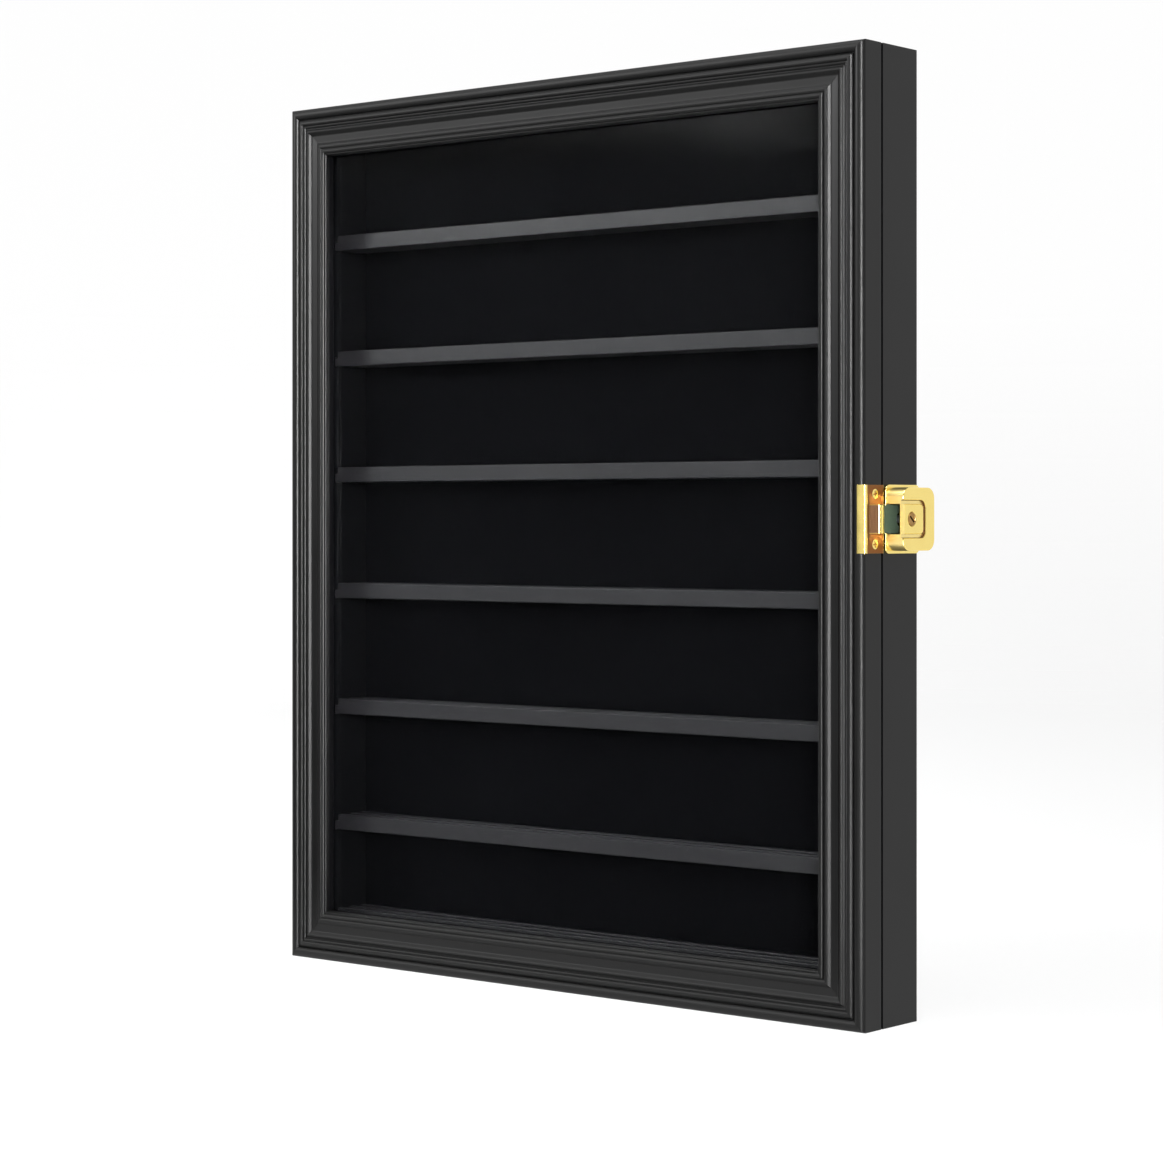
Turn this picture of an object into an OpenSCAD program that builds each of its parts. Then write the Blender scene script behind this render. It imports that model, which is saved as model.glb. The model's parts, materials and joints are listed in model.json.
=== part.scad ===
// Lockable wall display case for coins: a moulded, mitred and glazed door on a shallow black case
// with seven grooved shelves, a surface lock on the right and two butt hinges on the left.
// Every module is drawn from the front lower left corner: X to the right, Y into the case, Z up.

/* [Case] */
// Overall width of the case and of its door
case_w = 359; // [340:1:400]
// Overall height of the case and of its door
case_h = 440; // [435:1:470]
// Overall depth from the front of the door to the back of the case
case_d = 44; // [43:1:60]
// Thickness of the case sides, top and bottom
case_t = 17; // [16.5:0.5:18]
// Thickness of the back panel
panel_t = 3; // [2.5:0.5:4]
// Thickness of the felt on the back panel
felt_t = 1.5; // [1:0.25:2]
// Width of the step that the back panel sits in
rebate_w = 5; // [4:0.5:5]

/* [Door] */
// Thickness of the door frame
door_t = 15; // [14:0.5:16]
// Gap between the closed door and the case
door_gap = 0.8; // [0.6:0.1:1.2]
// Width of the moulding, from the outer edge to the glazed opening
frame_w = 25.6; // [25.4:0.2:30]
// Depth at which the pane sits in its step
pane_seat = 6; // [5.5:0.5:8]
// Thickness of the clear pane
pane_t = 2; // [1.5:0.5:3]
// Width of the step that the pane and its beads sit in
pane_step = 6.5; // [6:0.5:7]

/* [Shelves] */
// Number of shelves, the lowest one resting on the bottom of the case
shelf_count = 7; // [7]
// Distance from one shelf to the next
shelf_pitch = 60.3; // [58:0.1:61]
// Height of the underside of the second shelf from the bottom
shelf_first_z = 65.8; // [60:0.2:68]
// Full thickness of a shelf
shelf_t = 7.8; // [7:0.1:9]
// Thickness of the tongue at each end of a shelf
tongue_t = 4.3; // [3.6:0.1:4.4]
// Length of the tongue past the end of the shelf
tongue_out = 3.1; // [2.5:0.1:4]
// Depth of the front edge of the shelves behind the front of the door
shelf_front = 19; // [18:0.5:20]
// Width of each coin groove
groove_w = 4.6; // [4.4:0.1:5]
// Depth of each coin groove
groove_d = 3.4; // [2.5:0.1:3.6]
// Width of the lip in front of the first groove
groove_lip = 3.2; // [2.5:0.1:3.6]
// Distance from one groove to the next
groove_pitch = 8.7; // [8:0.1:9]

/* [Lock] */
// Height of the middle of the lock
lock_z = 227.5; // [215:0.5:237]
// Height of the lock's base plate and of its strike
lock_h = 31; // [30:0.5:33]
// How far the lock stands off the side of the case
lock_out = 9.5; // [9:0.1:10.5]
// Radius of the key plug
plug_r = 3; // [2.8:0.1:3.2]
// Depth of the key plug behind the front of the door
plug_y = 25.2; // [25:0.1:26]

/* [Hinges] */
// Height of a hinge
hinge_h = 50; // [40:1:60]
// Distance from each end of the door to the middle of its hinge
hinge_in = 75; // [60:1:90]
// Radius of the hinge knuckle
knuckle_r = 2.2; // [2:0.1:2.3]
// Width of a hinge leaf let into the wood
leaf_w = 11; // [10:0.5:12]
// Thickness of a hinge leaf
leaf_t = 1; // [0.8:0.1:1.2]

/* [Hidden] */
$fn = 48;
fit = 0.02;
slide = 0.3;
case_y = door_t + door_gap;
panel_y = case_d - panel_t;
felt_y = panel_y - felt_t;
shelf_d = felt_y - slide - shelf_front;
shelf_x = case_t + slide;
shelf_slot = 3.5;
shelf_drop = 0.1;
slot_h = tongue_t + 0.5;
step_x = frame_w - pane_step;
bead_y = pane_seat + pane_t;
bead_r = 4;
hinge_x = -knuckle_r - 0.3;
hinge_y = door_t + door_gap / 2;
hinge_zs = [hinge_in, case_h - hinge_in];
hinge_pin_r = 1.1;
knuckles = 5;
knuckle_gap = 0.3;
hinge_screw_zs = [-18, 0, 18];
hinge_screw_x = 6;
small_screw = [2.2, 1.1, 1.1, 9];
strike_screw = [2.4, 1.2, 1.3, 11];
panel_screw = [2.6, 1.3, 1.4, 13];
lock_screw = [2.8, 1.4, 1.6, 24];
panel_screw_zs = [40, 159, 280, 400];
panel_screw_xs = [70, case_w / 2, case_w - 70];
hanger_x = 6.2;
hanger_w = 10.4;
hanger_h = 40;
hanger_t = 1.5;
hanger_z = case_h - 35;
hanger_entry_z = hanger_z - 5;
hanger_entry_r = 4;
hanger_slot_w = 4.2;
hanger_slot_h = 10;
hanger_pocket_d = 8;
hanger_pocket_w = 9;
hanger_screw_dz = 16;
nail_leg = 4.5;
nail_t = 0.5;
nail_d = 7;
door_nails = [6, 13];
case_nails = [5, 10];
bead_pin_spread = [-0.36, 0, 0.36];
bead_pin_l = 7;
bead_pin_y = bead_y + 1.6;
bead_pin_x = step_x + 3.1;
lock_base_t = 1.5;
lock_front = 16.6;
lock_back = case_d - 0.4;
lock_half = 14.2;
lock_bevel = 0.8;
lock_wall = 2;
cavity_top = 7.4;
cavity_half = 7.3;
notch_half = 6.8;
cavity_back = 33;
strike_half = 15.2;
strike_t = 1.3;
strike_bead = 2.2;
strap_in = 2.2;
strap_out = 3.7;
strap_half = 6.4;
strap_tip = 31;
strap_roll = [3.3, 8];
strap_roll_r = 2;
fork_r = 3.6;
fork_mouth = 4;
cam_l = 6.4;
cam_w = 3.4;
cam_lo = 1.9;
cam_hi = 4.4;
pad_half = 6.7;
pad_back = 34.4;
pad_groove = 1.8;
pad_groove_d = 1.2;
keyway_l = 4.2;
keyway_w = 0.9;
lock_screw_dz = 10.8;
lock_screw_y = 39;
black = "#37373a";
felt_black = "#0e0f10";
brass = "#e8c35a";
steel = "#b9bcc0";

// Height of the underside of a shelf, counted from 1 at the top
function shelf_z(i) =
    i == shelf_count ? case_t + shelf_drop : shelf_first_z + (shelf_count - 1 - i) * shelf_pitch;

// A bead or a hollow from s0 to s1 that swells by rise towards the front
function bead(s0, s1, y0, y1, rise, n) = [
    for (i = [0:n]) let (a = 180 * i / n, t = (1 - cos(a)) / 2)
        [s0 + (s1 - s0) * t, y0 + (y1 - y0) * t - rise * sin(a)]
];

// A smooth slope from one height to another, without its last point
function slope(s0, s1, y0, y1, n) = [
    for (i = [0:n - 1]) let (t = i / n)
        [s0 + (s1 - s0) * t, y0 + (y1 - y0) * (1 - cos(180 * t)) / 2]
];

// Front of the moulding from the outer edge inwards: a corner bead, two small beads, a broad
// hollow between two crests, and three reeds along the glazed opening
moulding_front = concat(
    bead(0, 5, 2.6, 1.9, 2.25, 12),
    bead(5.2, 8.3, 1.9, 2, 1.25, 8),
    bead(8.5, 10.8, 2.1, 2, 1.05, 7),
    slope(11, 12, 2, 0.8, 3),
    slope(12, 15.2, 0.8, 2.8, 6),
    slope(15.2, 19.2, 2.8, 1.1, 7),
    slope(19.2, 20.2, 1.1, 1.8, 3),
    bead(20.2, 21.6, 1.8, 1.9, 0.6, 5),
    bead(21.8, 23.2, 1.9, 2.1, 0.6, 5),
    bead(23.5, frame_w - 0.3, 2.2, 2.6, 0.65, 5)
);

// Section of the door frame: the moulding in front, the step for the pane behind
door_section = concat(moulding_front, [
    [frame_w, 3.2], [frame_w, pane_seat], [step_x, pane_seat], [step_x, door_t], [0, door_t]
]);

// Section of a case member with the step for the back panel
case_section = [
    [0, case_y], [case_t, case_y], [case_t, panel_y], [case_t - rebate_w, panel_y],
    [case_t - rebate_w, case_d], [0, case_d]
];

// Section of the quarter-round bead that holds the pane
bead_section = concat(
    [[0, 0]],
    [for (i = [0:8]) let (a = 11.25 * i) [bead_r * cos(a), bead_r * sin(a)]]
);

// Puts the corner drawing frame on the part's own origin, the middle of the base
module placed() {
    translate([-case_w / 2, -case_d / 2, 0]) children();
}

// The same piece on the right-hand side
module on_right() {
    translate([case_w, 0, 0]) mirror([1, 0, 0]) children();
}

// The same piece at the top
module on_top() {
    translate([0, 0, case_h]) mirror([0, 0, 1]) children();
}

// A straight member of a given section and width, mitred at 45 degrees at both ends
module mitred_bar(section, length, width) {
    over = width + 2;
    intersection() {
        linear_extrude(length) polygon(section);
        translate([0, case_d + 1, 0]) rotate([90, 0, 0]) linear_extrude(case_d + 2)
            polygon([[-2, -2], [over, over], [over, length - over], [-2, length + 2]]);
    }
}

// Turns a member drawn upright on the left into one that lies along the bottom
module laid(length) {
    translate([length, 0, 0]) rotate([0, -90, 0]) children();
}

// A countersunk screw along +Z with its head at Z = 0: size is [head r, shank r, head h, length]
module screw(size) {
    difference() {
        union() {
            cylinder(h = size[2], r1 = size[0], r2 = size[1]);
            cylinder(h = size[3] - 2, r = size[1]);
            translate([0, 0, size[3] - 2]) cylinder(h = 2, r1 = size[1], r2 = 0.2);
        }
        for (a = [0, 90]) rotate([0, 0, a])
            translate([-size[0] * 0.6, -0.25, -0.1]) cube([size[0] * 1.2, 0.5, size[2] * 0.55]);
    }
}

// The hole that such a screw fills
module screw_hole(size) {
    cylinder(h = size[2], r1 = size[0] + fit, r2 = size[1] + fit);
    translate([0, 0, -1]) cylinder(h = 1.01, r = size[0] + fit);
    cylinder(h = size[3] + 0.2, r = size[1] + fit);
}

// One V-shaped corner nail across a mitre, pressed in along +Y from Y = 0
module corner_nail(turn) {
    rotate([0, turn, 0]) for (a = [-30, 30]) rotate([0, a, 0])
        translate([-nail_t / 2, 0, 0]) cube([nail_t, nail_d, nail_leg]);
}

// Nails at the four corners of a frame, at given insets along each mitre, below a given face
module corner_nails(insets, face_y) {
    for (s = insets) {
        nail_at(s, face_y);
        on_right() nail_at(s, face_y);
        on_top() nail_at(s, face_y);
        on_right() on_top() nail_at(s, face_y);
    }
}

// A nail on the lower left mitre
module nail_at(inset, face_y) {
    translate([inset, face_y - nail_d, inset]) corner_nail(45);
}

// Places of the screws through the back panel, in the side and end members
module panel_screw_places() {
    for (z = panel_screw_zs) {
        translate([case_t - 2.4, case_d, z]) rotate([90, 0, 0]) children();
        translate([case_w - case_t + 2.4, case_d, z]) rotate([90, 0, 0]) children();
    }
    for (x = panel_screw_xs, z = [case_t - 2.4, case_h - case_t + 2.4])
        translate([x, case_d, z]) rotate([90, 0, 0]) children();
}

// Places of the screws of the left-hand keyhole hanger
module hanger_screw_places() {
    for (dz = [-hanger_screw_dz, hanger_screw_dz])
        translate([hanger_x, case_d, hanger_z + dz]) rotate([90, 0, 0]) children();
}

// Places of the screws in the case leaves of both hinges
module hinge_case_screw_places() {
    for (z = hinge_zs, dz = hinge_screw_zs)
        translate([hinge_screw_x, case_y, z + dz]) rotate([-90, 0, 0]) children();
}

// Places of the screws in the door leaves of both hinges
module hinge_door_screw_places() {
    for (z = hinge_zs, dz = hinge_screw_zs)
        translate([hinge_screw_x, door_t, z + dz]) rotate([90, 0, 0]) children();
}

// Places of the screws that hold the lock from inside the case
module lock_screw_places() {
    for (dz = [-lock_screw_dz, lock_screw_dz])
        translate([case_w - case_t, lock_screw_y - 1, lock_z + dz]) rotate([0, 90, 0]) children();
}

// Places of the screws that hold the strike to the edge of the door
module strike_screw_places() {
    for (dz = [-11.2, 11.2])
        translate([case_w + strike_t, 8, lock_z + dz]) rotate([0, -90, 0]) children();
}

// The shallow seats of the case leaves
module hinge_seats(y) {
    for (z = hinge_zs)
        translate([-1, y, z - hinge_h / 2]) cube([leaf_w + 1, leaf_t, hinge_h]);
}

// The keyhole hanger's plate seat and the pocket for the head of the wall screw
module hanger_seat() {
    translate([hanger_x - hanger_w / 2, case_d - hanger_t, hanger_z - hanger_h / 2])
        cube([hanger_w, hanger_t + 1, hanger_h]);
    translate([hanger_x - hanger_pocket_w / 2, case_d - hanger_t - hanger_pocket_d,
               hanger_entry_z - hanger_pocket_w / 2])
        cube([hanger_pocket_w, hanger_pocket_d + 0.5, hanger_slot_h + hanger_pocket_w]);
}

// One side of the case: grooved for the shelf tongues and cut for the panel, nails and hanger
module case_side() {
    difference() {
        mitred_bar(case_section, case_h, case_t);
        for (i = [1:shelf_count])
            translate([case_t - shelf_slot, case_y - 1, shelf_z(i) - shelf_drop])
                cube([shelf_slot + 1, felt_y - case_y + 1, slot_h]);
        corner_nails(case_nails, case_d);
        panel_screw_places() screw_hole(panel_screw);
        hanger_seat();
        hanger_screw_places() screw_hole(small_screw);
    }
}

// One end of the case, drawn as the bottom
module case_end() {
    difference() {
        laid(case_w) mitred_bar(case_section, case_w, case_t);
        corner_nails(case_nails, case_d);
        panel_screw_places() screw_hole(panel_screw);
    }
}

module case_side_left() {
    color(black) placed() difference() {
        case_side();
        hinge_seats(case_y);
        hinge_case_screw_places() screw_hole(small_screw);
    }
}

module case_side_right() {
    color(black) placed() difference() {
        on_right() case_side();
        lock_screw_places() screw_hole(lock_screw);
    }
}

module case_top() {
    color(black) placed() on_top() case_end();
}

module case_bottom() {
    color(black) placed() case_end();
}

module case_corner_nails() {
    color(steel) placed() corner_nails(case_nails, case_d);
}

module back_panel() {
    inset = 0.1;
    edge = case_t - rebate_w + inset;
    color(black) placed() difference() {
        translate([edge, panel_y, edge]) cube([case_w - 2 * edge, panel_t, case_h - 2 * edge]);
        panel_screw_places() screw_hole(panel_screw);
    }
}

module back_panel_screws() {
    color(steel) placed() panel_screw_places() screw(panel_screw);
}

module felt_lining() {
    inset = 0.1;
    color(felt_black) placed()
        translate([case_t + inset, felt_y, case_t + inset])
            cube([case_w - 2 * (case_t + inset), felt_t, case_h - 2 * (case_t + inset)]);
}

// Flat plate with a round entry for the screw head and a narrow slot above it
module hanger() {
    difference() {
        translate([hanger_x - hanger_w / 2, case_d - hanger_t, hanger_z - hanger_h / 2])
            cube([hanger_w, hanger_t, hanger_h]);
        translate([hanger_x, case_d + 1, hanger_entry_z]) rotate([90, 0, 0])
            cylinder(h = hanger_t + 2, r = hanger_entry_r);
        translate([hanger_x, case_d + 1, hanger_entry_z + hanger_slot_h]) rotate([90, 0, 0])
            cylinder(h = hanger_t + 2, r = hanger_slot_w / 2);
        translate([hanger_x - hanger_slot_w / 2, case_d - hanger_t - 1, hanger_entry_z])
            cube([hanger_slot_w, hanger_t + 2, hanger_slot_h]);
        hanger_screw_places() screw_hole(small_screw);
    }
}

module hanger_left() {
    color(steel) placed() hanger();
}

module hanger_right() {
    color(steel) placed() on_right() hanger();
}

module hanger_screws() {
    color(steel) placed() {
        hanger_screw_places() screw(small_screw);
        on_right() hanger_screw_places() screw(small_screw);
    }
}

// One hinge leaf: the plate lies at y, and own says which knuckles it carries
module hinge_leaf(z, y, own, bore) {
    pitch = hinge_h / knuckles;
    difference() {
        union() {
            translate([0, y, z - hinge_h / 2]) cube([leaf_w, leaf_t, hinge_h]);
            for (i = own) translate([0, 0, z - hinge_h / 2 + i * pitch + knuckle_gap / 2]) {
                translate([hinge_x, y, 0]) cube([0.5 - hinge_x, leaf_t, pitch - knuckle_gap]);
                translate([hinge_x, hinge_y, 0]) cylinder(h = pitch - knuckle_gap, r = knuckle_r);
            }
        }
        translate([hinge_x, hinge_y, z - hinge_h / 2 - 1]) cylinder(h = hinge_h + 2, r = bore);
    }
}

module case_leaf(z) {
    color(brass) placed() difference() {
        hinge_leaf(z, case_y, [0, 2, 4], hinge_pin_r + fit);
        hinge_case_screw_places() screw_hole(small_screw);
    }
}

module door_leaf(z) {
    color(brass) placed() difference() {
        hinge_leaf(z, door_t - leaf_t, [1, 3], hinge_pin_r + 3 * fit);
        hinge_door_screw_places() screw_hole(small_screw);
    }
}

// Hinge pin with a low button at each end
module hinge_pin(z) {
    button = 0.8;
    color(brass) placed() translate([hinge_x, hinge_y, z]) {
        translate([0, 0, -hinge_h / 2]) cylinder(h = hinge_h, r = hinge_pin_r);
        for (m = [0, 1]) mirror([0, 0, m]) translate([0, 0, hinge_h / 2]) {
            cylinder(h = button, r = 1.9);
            translate([0, 0, button]) cylinder(h = 0.5, r1 = 1.9, r2 = 1.1);
        }
    }
}

module hinge_upper_case_leaf() {
    case_leaf(hinge_zs[1]);
}

module hinge_lower_case_leaf() {
    case_leaf(hinge_zs[0]);
}

module hinge_upper_door_leaf() {
    door_leaf(hinge_zs[1]);
}

module hinge_lower_door_leaf() {
    door_leaf(hinge_zs[0]);
}

module hinge_upper_pin() {
    hinge_pin(hinge_zs[1]);
}

module hinge_lower_pin() {
    hinge_pin(hinge_zs[0]);
}

module hinge_case_screws() {
    color(brass) placed() hinge_case_screw_places() screw(small_screw);
}

module hinge_door_screws() {
    color(brass) placed() hinge_door_screw_places() screw(small_screw);
}

// Lock parts are drawn with X off the side of the case, Y into the case and Z from the middle
module at_lock() {
    translate([case_w, 0, lock_z]) children();
}

// Raises a drawing in the plane of the case side to a height between x0 and x1
module off_side(x0, x1) {
    translate([x0, 0, 0]) rotate([90, 0, 90]) linear_extrude(x1 - x0) children();
}

// A rectangle with round corners, from [y0, -half] to [y1, half]
module rounded(y0, y1, half, r) {
    translate([y0 + r, -half]) square([y1 - y0 - 2 * r, 2 * half]);
    translate([y0, -half + r]) square([y1 - y0, 2 * (half - r)]);
    for (y = [y0 + r, y1 - r], z = [-half + r, half - r]) translate([y, z]) circle(r);
}

module lock_base_plate() {
    color(brass) placed() difference() {
        at_lock() off_side(0, lock_base_t) rounded(16.2, case_d - 0.2, lock_h / 2, 3);
        at_lock() translate([0.5, plug_y, 0]) rotate([0, 90, 0]) cylinder(h = 2, r = 1 + 3 * fit);
        lock_screw_places() screw_hole(lock_screw);
    }
}

// Channel round the central pad, open towards the door
module pad_channel() {
    off_side(lock_out - pad_groove_d, lock_out + 1) difference() {
        rounded(lock_front - 6, pad_back + pad_groove, pad_half + pad_groove, 3.2);
        rounded(lock_front - 6, pad_back, pad_half, 1.8);
    }
}

module lock_body() {
    color(brass) placed() difference() {
        at_lock() difference() {
            hull() {
                off_side(lock_base_t, lock_out - lock_bevel)
                    rounded(lock_front, lock_back, lock_half, 5);
                off_side(lock_out - lock_bevel, lock_out)
                    rounded(lock_front + 0.8, lock_back - 0.8, lock_half - 0.8, 4.2);
            }
            pad_channel();
            translate([lock_base_t - 1, lock_front + lock_wall, -cavity_half])
                cube([cavity_top - lock_base_t + 1, cavity_back - lock_front - lock_wall,
                      2 * cavity_half]);
            translate([lock_base_t - 1, lock_front - 1, -notch_half])
                cube([lock_out, lock_wall + 1.01, 2 * notch_half]);
            translate([cavity_top - 1, plug_y, 0]) rotate([0, 90, 0])
                cylinder(h = lock_out, r = plug_r + 3 * fit);
            translate([cavity_top - 1, plug_y, 0]) rotate([0, 90, 0])
                cylinder(h = 1.9, r = plug_r + 0.7);
        }
        lock_screw_places() screw_hole(lock_screw);
    }
}

module lock_screws() {
    color(steel) placed() lock_screw_places() screw(lock_screw);
}

// Turning plug with its collar under the body, a square for the cam and a pivot in the base
module key_plug() {
    color(brass) placed() at_lock() translate([0, plug_y, 0]) difference() {
        union() {
            translate([0.7, 0, 0]) rotate([0, 90, 0]) cylinder(h = 2, r = 1);
            translate([1.6, -1.1, -1.1]) cube([cavity_top - 1.3, 2.2, 2.2]);
            translate([cavity_top + 0.05, 0, 0]) rotate([0, 90, 0])
                cylinder(h = 0.75, r = plug_r + 0.6);
            translate([cavity_top + 0.05, 0, 0]) rotate([0, 90, 0])
                cylinder(h = lock_out + 0.25 - cavity_top, r = plug_r);
        }
        translate([lock_out + 0.05, 0, 0]) rotate([0, 90, 0]) cylinder(h = 1, r = plug_r - 0.7);
        rotate([40, 0, 0]) translate([lock_out - 1.4, -keyway_w / 2, -keyway_l / 2])
            cube([3, keyway_w, keyway_l]);
    }
}

// Oval cam on the plug's square: it lies along the case when the lock is open
module lock_cam() {
    flat = cam_l - cam_w;
    color(steel) placed() at_lock() translate([0, plug_y, 0]) difference() {
        off_side(cam_lo, cam_hi) {
            translate([-flat / 2, -cam_w / 2]) square([flat, cam_w]);
            for (m = [-1, 1]) translate([m * flat / 2, 0]) circle(cam_w / 2);
        }
        translate([cam_lo - 1, -1.1 - fit, -1.1 - fit])
            cube([cam_hi - cam_lo + 2, 2.2 + 2 * fit, 2.2 + 2 * fit]);
    }
}

// Angle plate that wraps the front edge of the door, with a forked strap into the lock
module strike_plate() {
    color(brass) placed() difference() {
        at_lock() {
            difference() {
                translate([0, 0, -strike_half]) linear_extrude(2 * strike_half) {
                    translate([-2.2, -1.1]) square([3.1, 3]);
                    translate([-1, 0]) square([strike_t + 1, door_t - 0.2]);
                    translate([0.9, 0.2]) circle(strike_bead - 0.9);
                    translate([-2.2, -0.55]) circle(0.55);
                }
                translate([0, 0, -strike_half - 1]) linear_extrude(2 * strike_half + 2) {
                    translate([-2.6, 2.6]) circle(2.6);
                    translate([-8, 2.6]) square([8, door_t]);
                    translate([-8, 0]) square([5.4, 4]);
                }
            }
            difference() {
                translate([0, 0, -strap_half]) linear_extrude(2 * strap_half) strap_section();
                translate([0, plug_y, 0]) rotate([0, 90, 0]) cylinder(h = 8, r = fork_r);
                translate([0, plug_y, -fork_mouth / 2]) cube([8, 10, fork_mouth]);
            }
        }
        strike_screw_places() screw_hole(strike_screw);
    }
}

// Side view of the strap: up from the plate, over a roll, down again and straight into the lock
module strap_section() {
    polygon([
        [strike_t - 0.3, 3.4], [strike_t, 3.4], [4.1, 6.2], [4.7, 8.6], [strap_out, 11.2],
        [strap_out, strap_tip - 1], [strap_out - 0.5, strap_tip], [strap_in + 0.5, strap_tip],
        [strap_in, strap_tip - 1], [strap_in, 11.2], [strike_t, 10.6], [strike_t - 0.3, 10.6]
    ]);
    translate(strap_roll) circle(strap_roll_r);
}

module strike_screws() {
    color(brass) placed() strike_screw_places() screw(strike_screw);
}

// One upright of the door frame, drawn on the left
module door_stile() {
    difference() {
        mitred_bar(door_section, case_h, frame_w);
        corner_nails(door_nails, door_t);
        bead_pin_places() bead_pin_hole();
    }
}

// One cross member of the door frame, drawn at the bottom
module door_rail() {
    difference() {
        laid(case_w) mitred_bar(door_section, case_w, frame_w);
        corner_nails(door_nails, door_t);
        bead_pin_places() bead_pin_hole();
    }
}

module door_stile_left() {
    color(black) placed() difference() {
        door_stile();
        hinge_seats(door_t - leaf_t);
        hinge_door_screw_places() screw_hole(small_screw);
    }
}

module door_stile_right() {
    color(black) placed() difference() {
        on_right() door_stile();
        strike_screw_places() screw_hole(strike_screw);
    }
}

module door_rail_top() {
    color(black) placed() on_top() door_rail();
}

module door_rail_bottom() {
    color(black) placed() door_rail();
}

module door_corner_nails() {
    color(steel) placed() corner_nails(door_nails, door_t);
}

module door_pane() {
    inset = step_x + 0.4;
    color("#dfe6ea", 0.3) placed()
        translate([inset, pane_seat, inset])
            cube([case_w - 2 * inset, pane_t, case_h - 2 * inset]);
}

// The bead along the left of the pane
module pane_bead_upright() {
    difference() {
        translate([step_x, bead_y, step_x])
            mitred_bar(bead_section, case_h - 2 * step_x, bead_r);
        bead_pin_places() bead_pin_hole();
    }
}

// Pins through the beads into the frame, one group for each side of the door
module bead_pin_places() {
    for (k = bead_pin_spread) {
        translate([bead_pin_x, bead_pin_y, case_h * (0.5 + k)]) rotate([0, -90, 0]) children();
        translate([case_w - bead_pin_x, bead_pin_y, case_h * (0.5 + k)]) rotate([0, 90, 0])
            children();
        translate([case_w * (0.5 + k), bead_pin_y, bead_pin_x]) rotate([0, 180, 0]) children();
        translate([case_w * (0.5 + k), bead_pin_y, case_h - bead_pin_x]) children();
    }
}

module bead_pin() {
    cylinder(h = bead_pin_l, r = 0.5);
    translate([0, 0, -0.1]) cylinder(h = 0.5, r = 0.9);
}

module bead_pin_hole() {
    translate([0, 0, -1]) cylinder(h = bead_pin_l + 1.1, r = 0.5 + fit);
    translate([0, 0, -1]) cylinder(h = 1.4 + fit, r = 0.9 + fit);
}

module pane_bead_left() {
    color(black) placed() pane_bead_upright();
}

module pane_bead_right() {
    color(black) placed() on_right() pane_bead_upright();
}

// The bead along the bottom of the pane
module pane_bead_flat() {
    difference() {
        translate([step_x, bead_y, step_x]) laid(case_w - 2 * step_x)
            mitred_bar(bead_section, case_w - 2 * step_x, bead_r);
        bead_pin_places() bead_pin_hole();
    }
}

module pane_bead_bottom() {
    color(black) placed() pane_bead_flat();
}

module pane_bead_top() {
    color(black) placed() on_top() pane_bead_flat();
}

module pane_bead_pins() {
    color(steel) placed() bead_pin_places() bead_pin();
}

// Grooved shelf whose tongues run in the slots of the case sides
module shelf(i) {
    color(black) placed() translate([0, shelf_front, shelf_z(i)]) difference() {
        union() {
            translate([shelf_x, 0, 0]) cube([case_w - 2 * shelf_x, shelf_d, shelf_t]);
            translate([shelf_x - tongue_out, 0, 0])
                cube([case_w - 2 * (shelf_x - tongue_out), shelf_d, tongue_t]);
        }
        for (k = [0, 1])
            translate([shelf_x - 1, groove_lip + k * groove_pitch, shelf_t - groove_d])
                cube([case_w - 2 * shelf_x + 2, groove_w, groove_d + 1]);
    }
}

case_side_left();
case_side_right();
case_top();
case_bottom();
case_corner_nails();
back_panel();
back_panel_screws();
felt_lining();
hanger_left();
hanger_right();
hanger_screws();
hinge_upper_case_leaf();
hinge_lower_case_leaf();
hinge_upper_pin();
hinge_lower_pin();
hinge_case_screws();
lock_base_plate();
lock_body();
lock_screws();
key_plug();
lock_cam();
door_stile_left();
door_stile_right();
door_rail_top();
door_rail_bottom();
door_corner_nails();
door_pane();
pane_bead_left();
pane_bead_right();
pane_bead_top();
pane_bead_bottom();
pane_bead_pins();
hinge_upper_door_leaf();
hinge_lower_door_leaf();
hinge_door_screws();
strike_plate();
strike_screws();
for (i = [1:shelf_count]) shelf(i);
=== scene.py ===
"""The looks of a lockable wall display case with seven grooved shelves.

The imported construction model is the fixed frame. Each class here makes the pieces of one
sub-assembly around it, gives them their finishes and lets them ride on the frame's bodies.
Pieces are drawn in millimetres from the lower left front corner of the case, with X to the right,
Y into the case and Z up, and are then placed in metres in the frame.
"""

import functools
import json
import logging
import math
import random
from dataclasses import dataclass, field
from enum import Enum
from typing import Callable, Iterable, Optional, Sequence, Union

import bmesh
import bpy
from mathutils import Matrix, Vector

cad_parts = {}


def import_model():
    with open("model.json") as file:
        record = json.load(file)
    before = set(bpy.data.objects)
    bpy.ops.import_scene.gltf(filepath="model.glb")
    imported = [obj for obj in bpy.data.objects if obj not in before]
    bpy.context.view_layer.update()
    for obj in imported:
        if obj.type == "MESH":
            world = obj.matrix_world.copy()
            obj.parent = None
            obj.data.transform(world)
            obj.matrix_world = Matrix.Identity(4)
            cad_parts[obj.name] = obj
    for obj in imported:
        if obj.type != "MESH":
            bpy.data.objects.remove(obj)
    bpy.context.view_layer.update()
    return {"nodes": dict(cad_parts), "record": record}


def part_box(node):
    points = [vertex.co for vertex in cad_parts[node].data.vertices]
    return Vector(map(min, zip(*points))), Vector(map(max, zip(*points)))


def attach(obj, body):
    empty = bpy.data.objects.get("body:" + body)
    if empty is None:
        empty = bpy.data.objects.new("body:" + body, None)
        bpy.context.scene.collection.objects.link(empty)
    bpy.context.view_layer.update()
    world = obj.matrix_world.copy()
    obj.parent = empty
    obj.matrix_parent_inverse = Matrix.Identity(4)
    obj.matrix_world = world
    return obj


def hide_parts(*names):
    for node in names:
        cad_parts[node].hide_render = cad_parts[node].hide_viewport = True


log = logging.getLogger("display_case")

MM = 0.001

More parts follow.
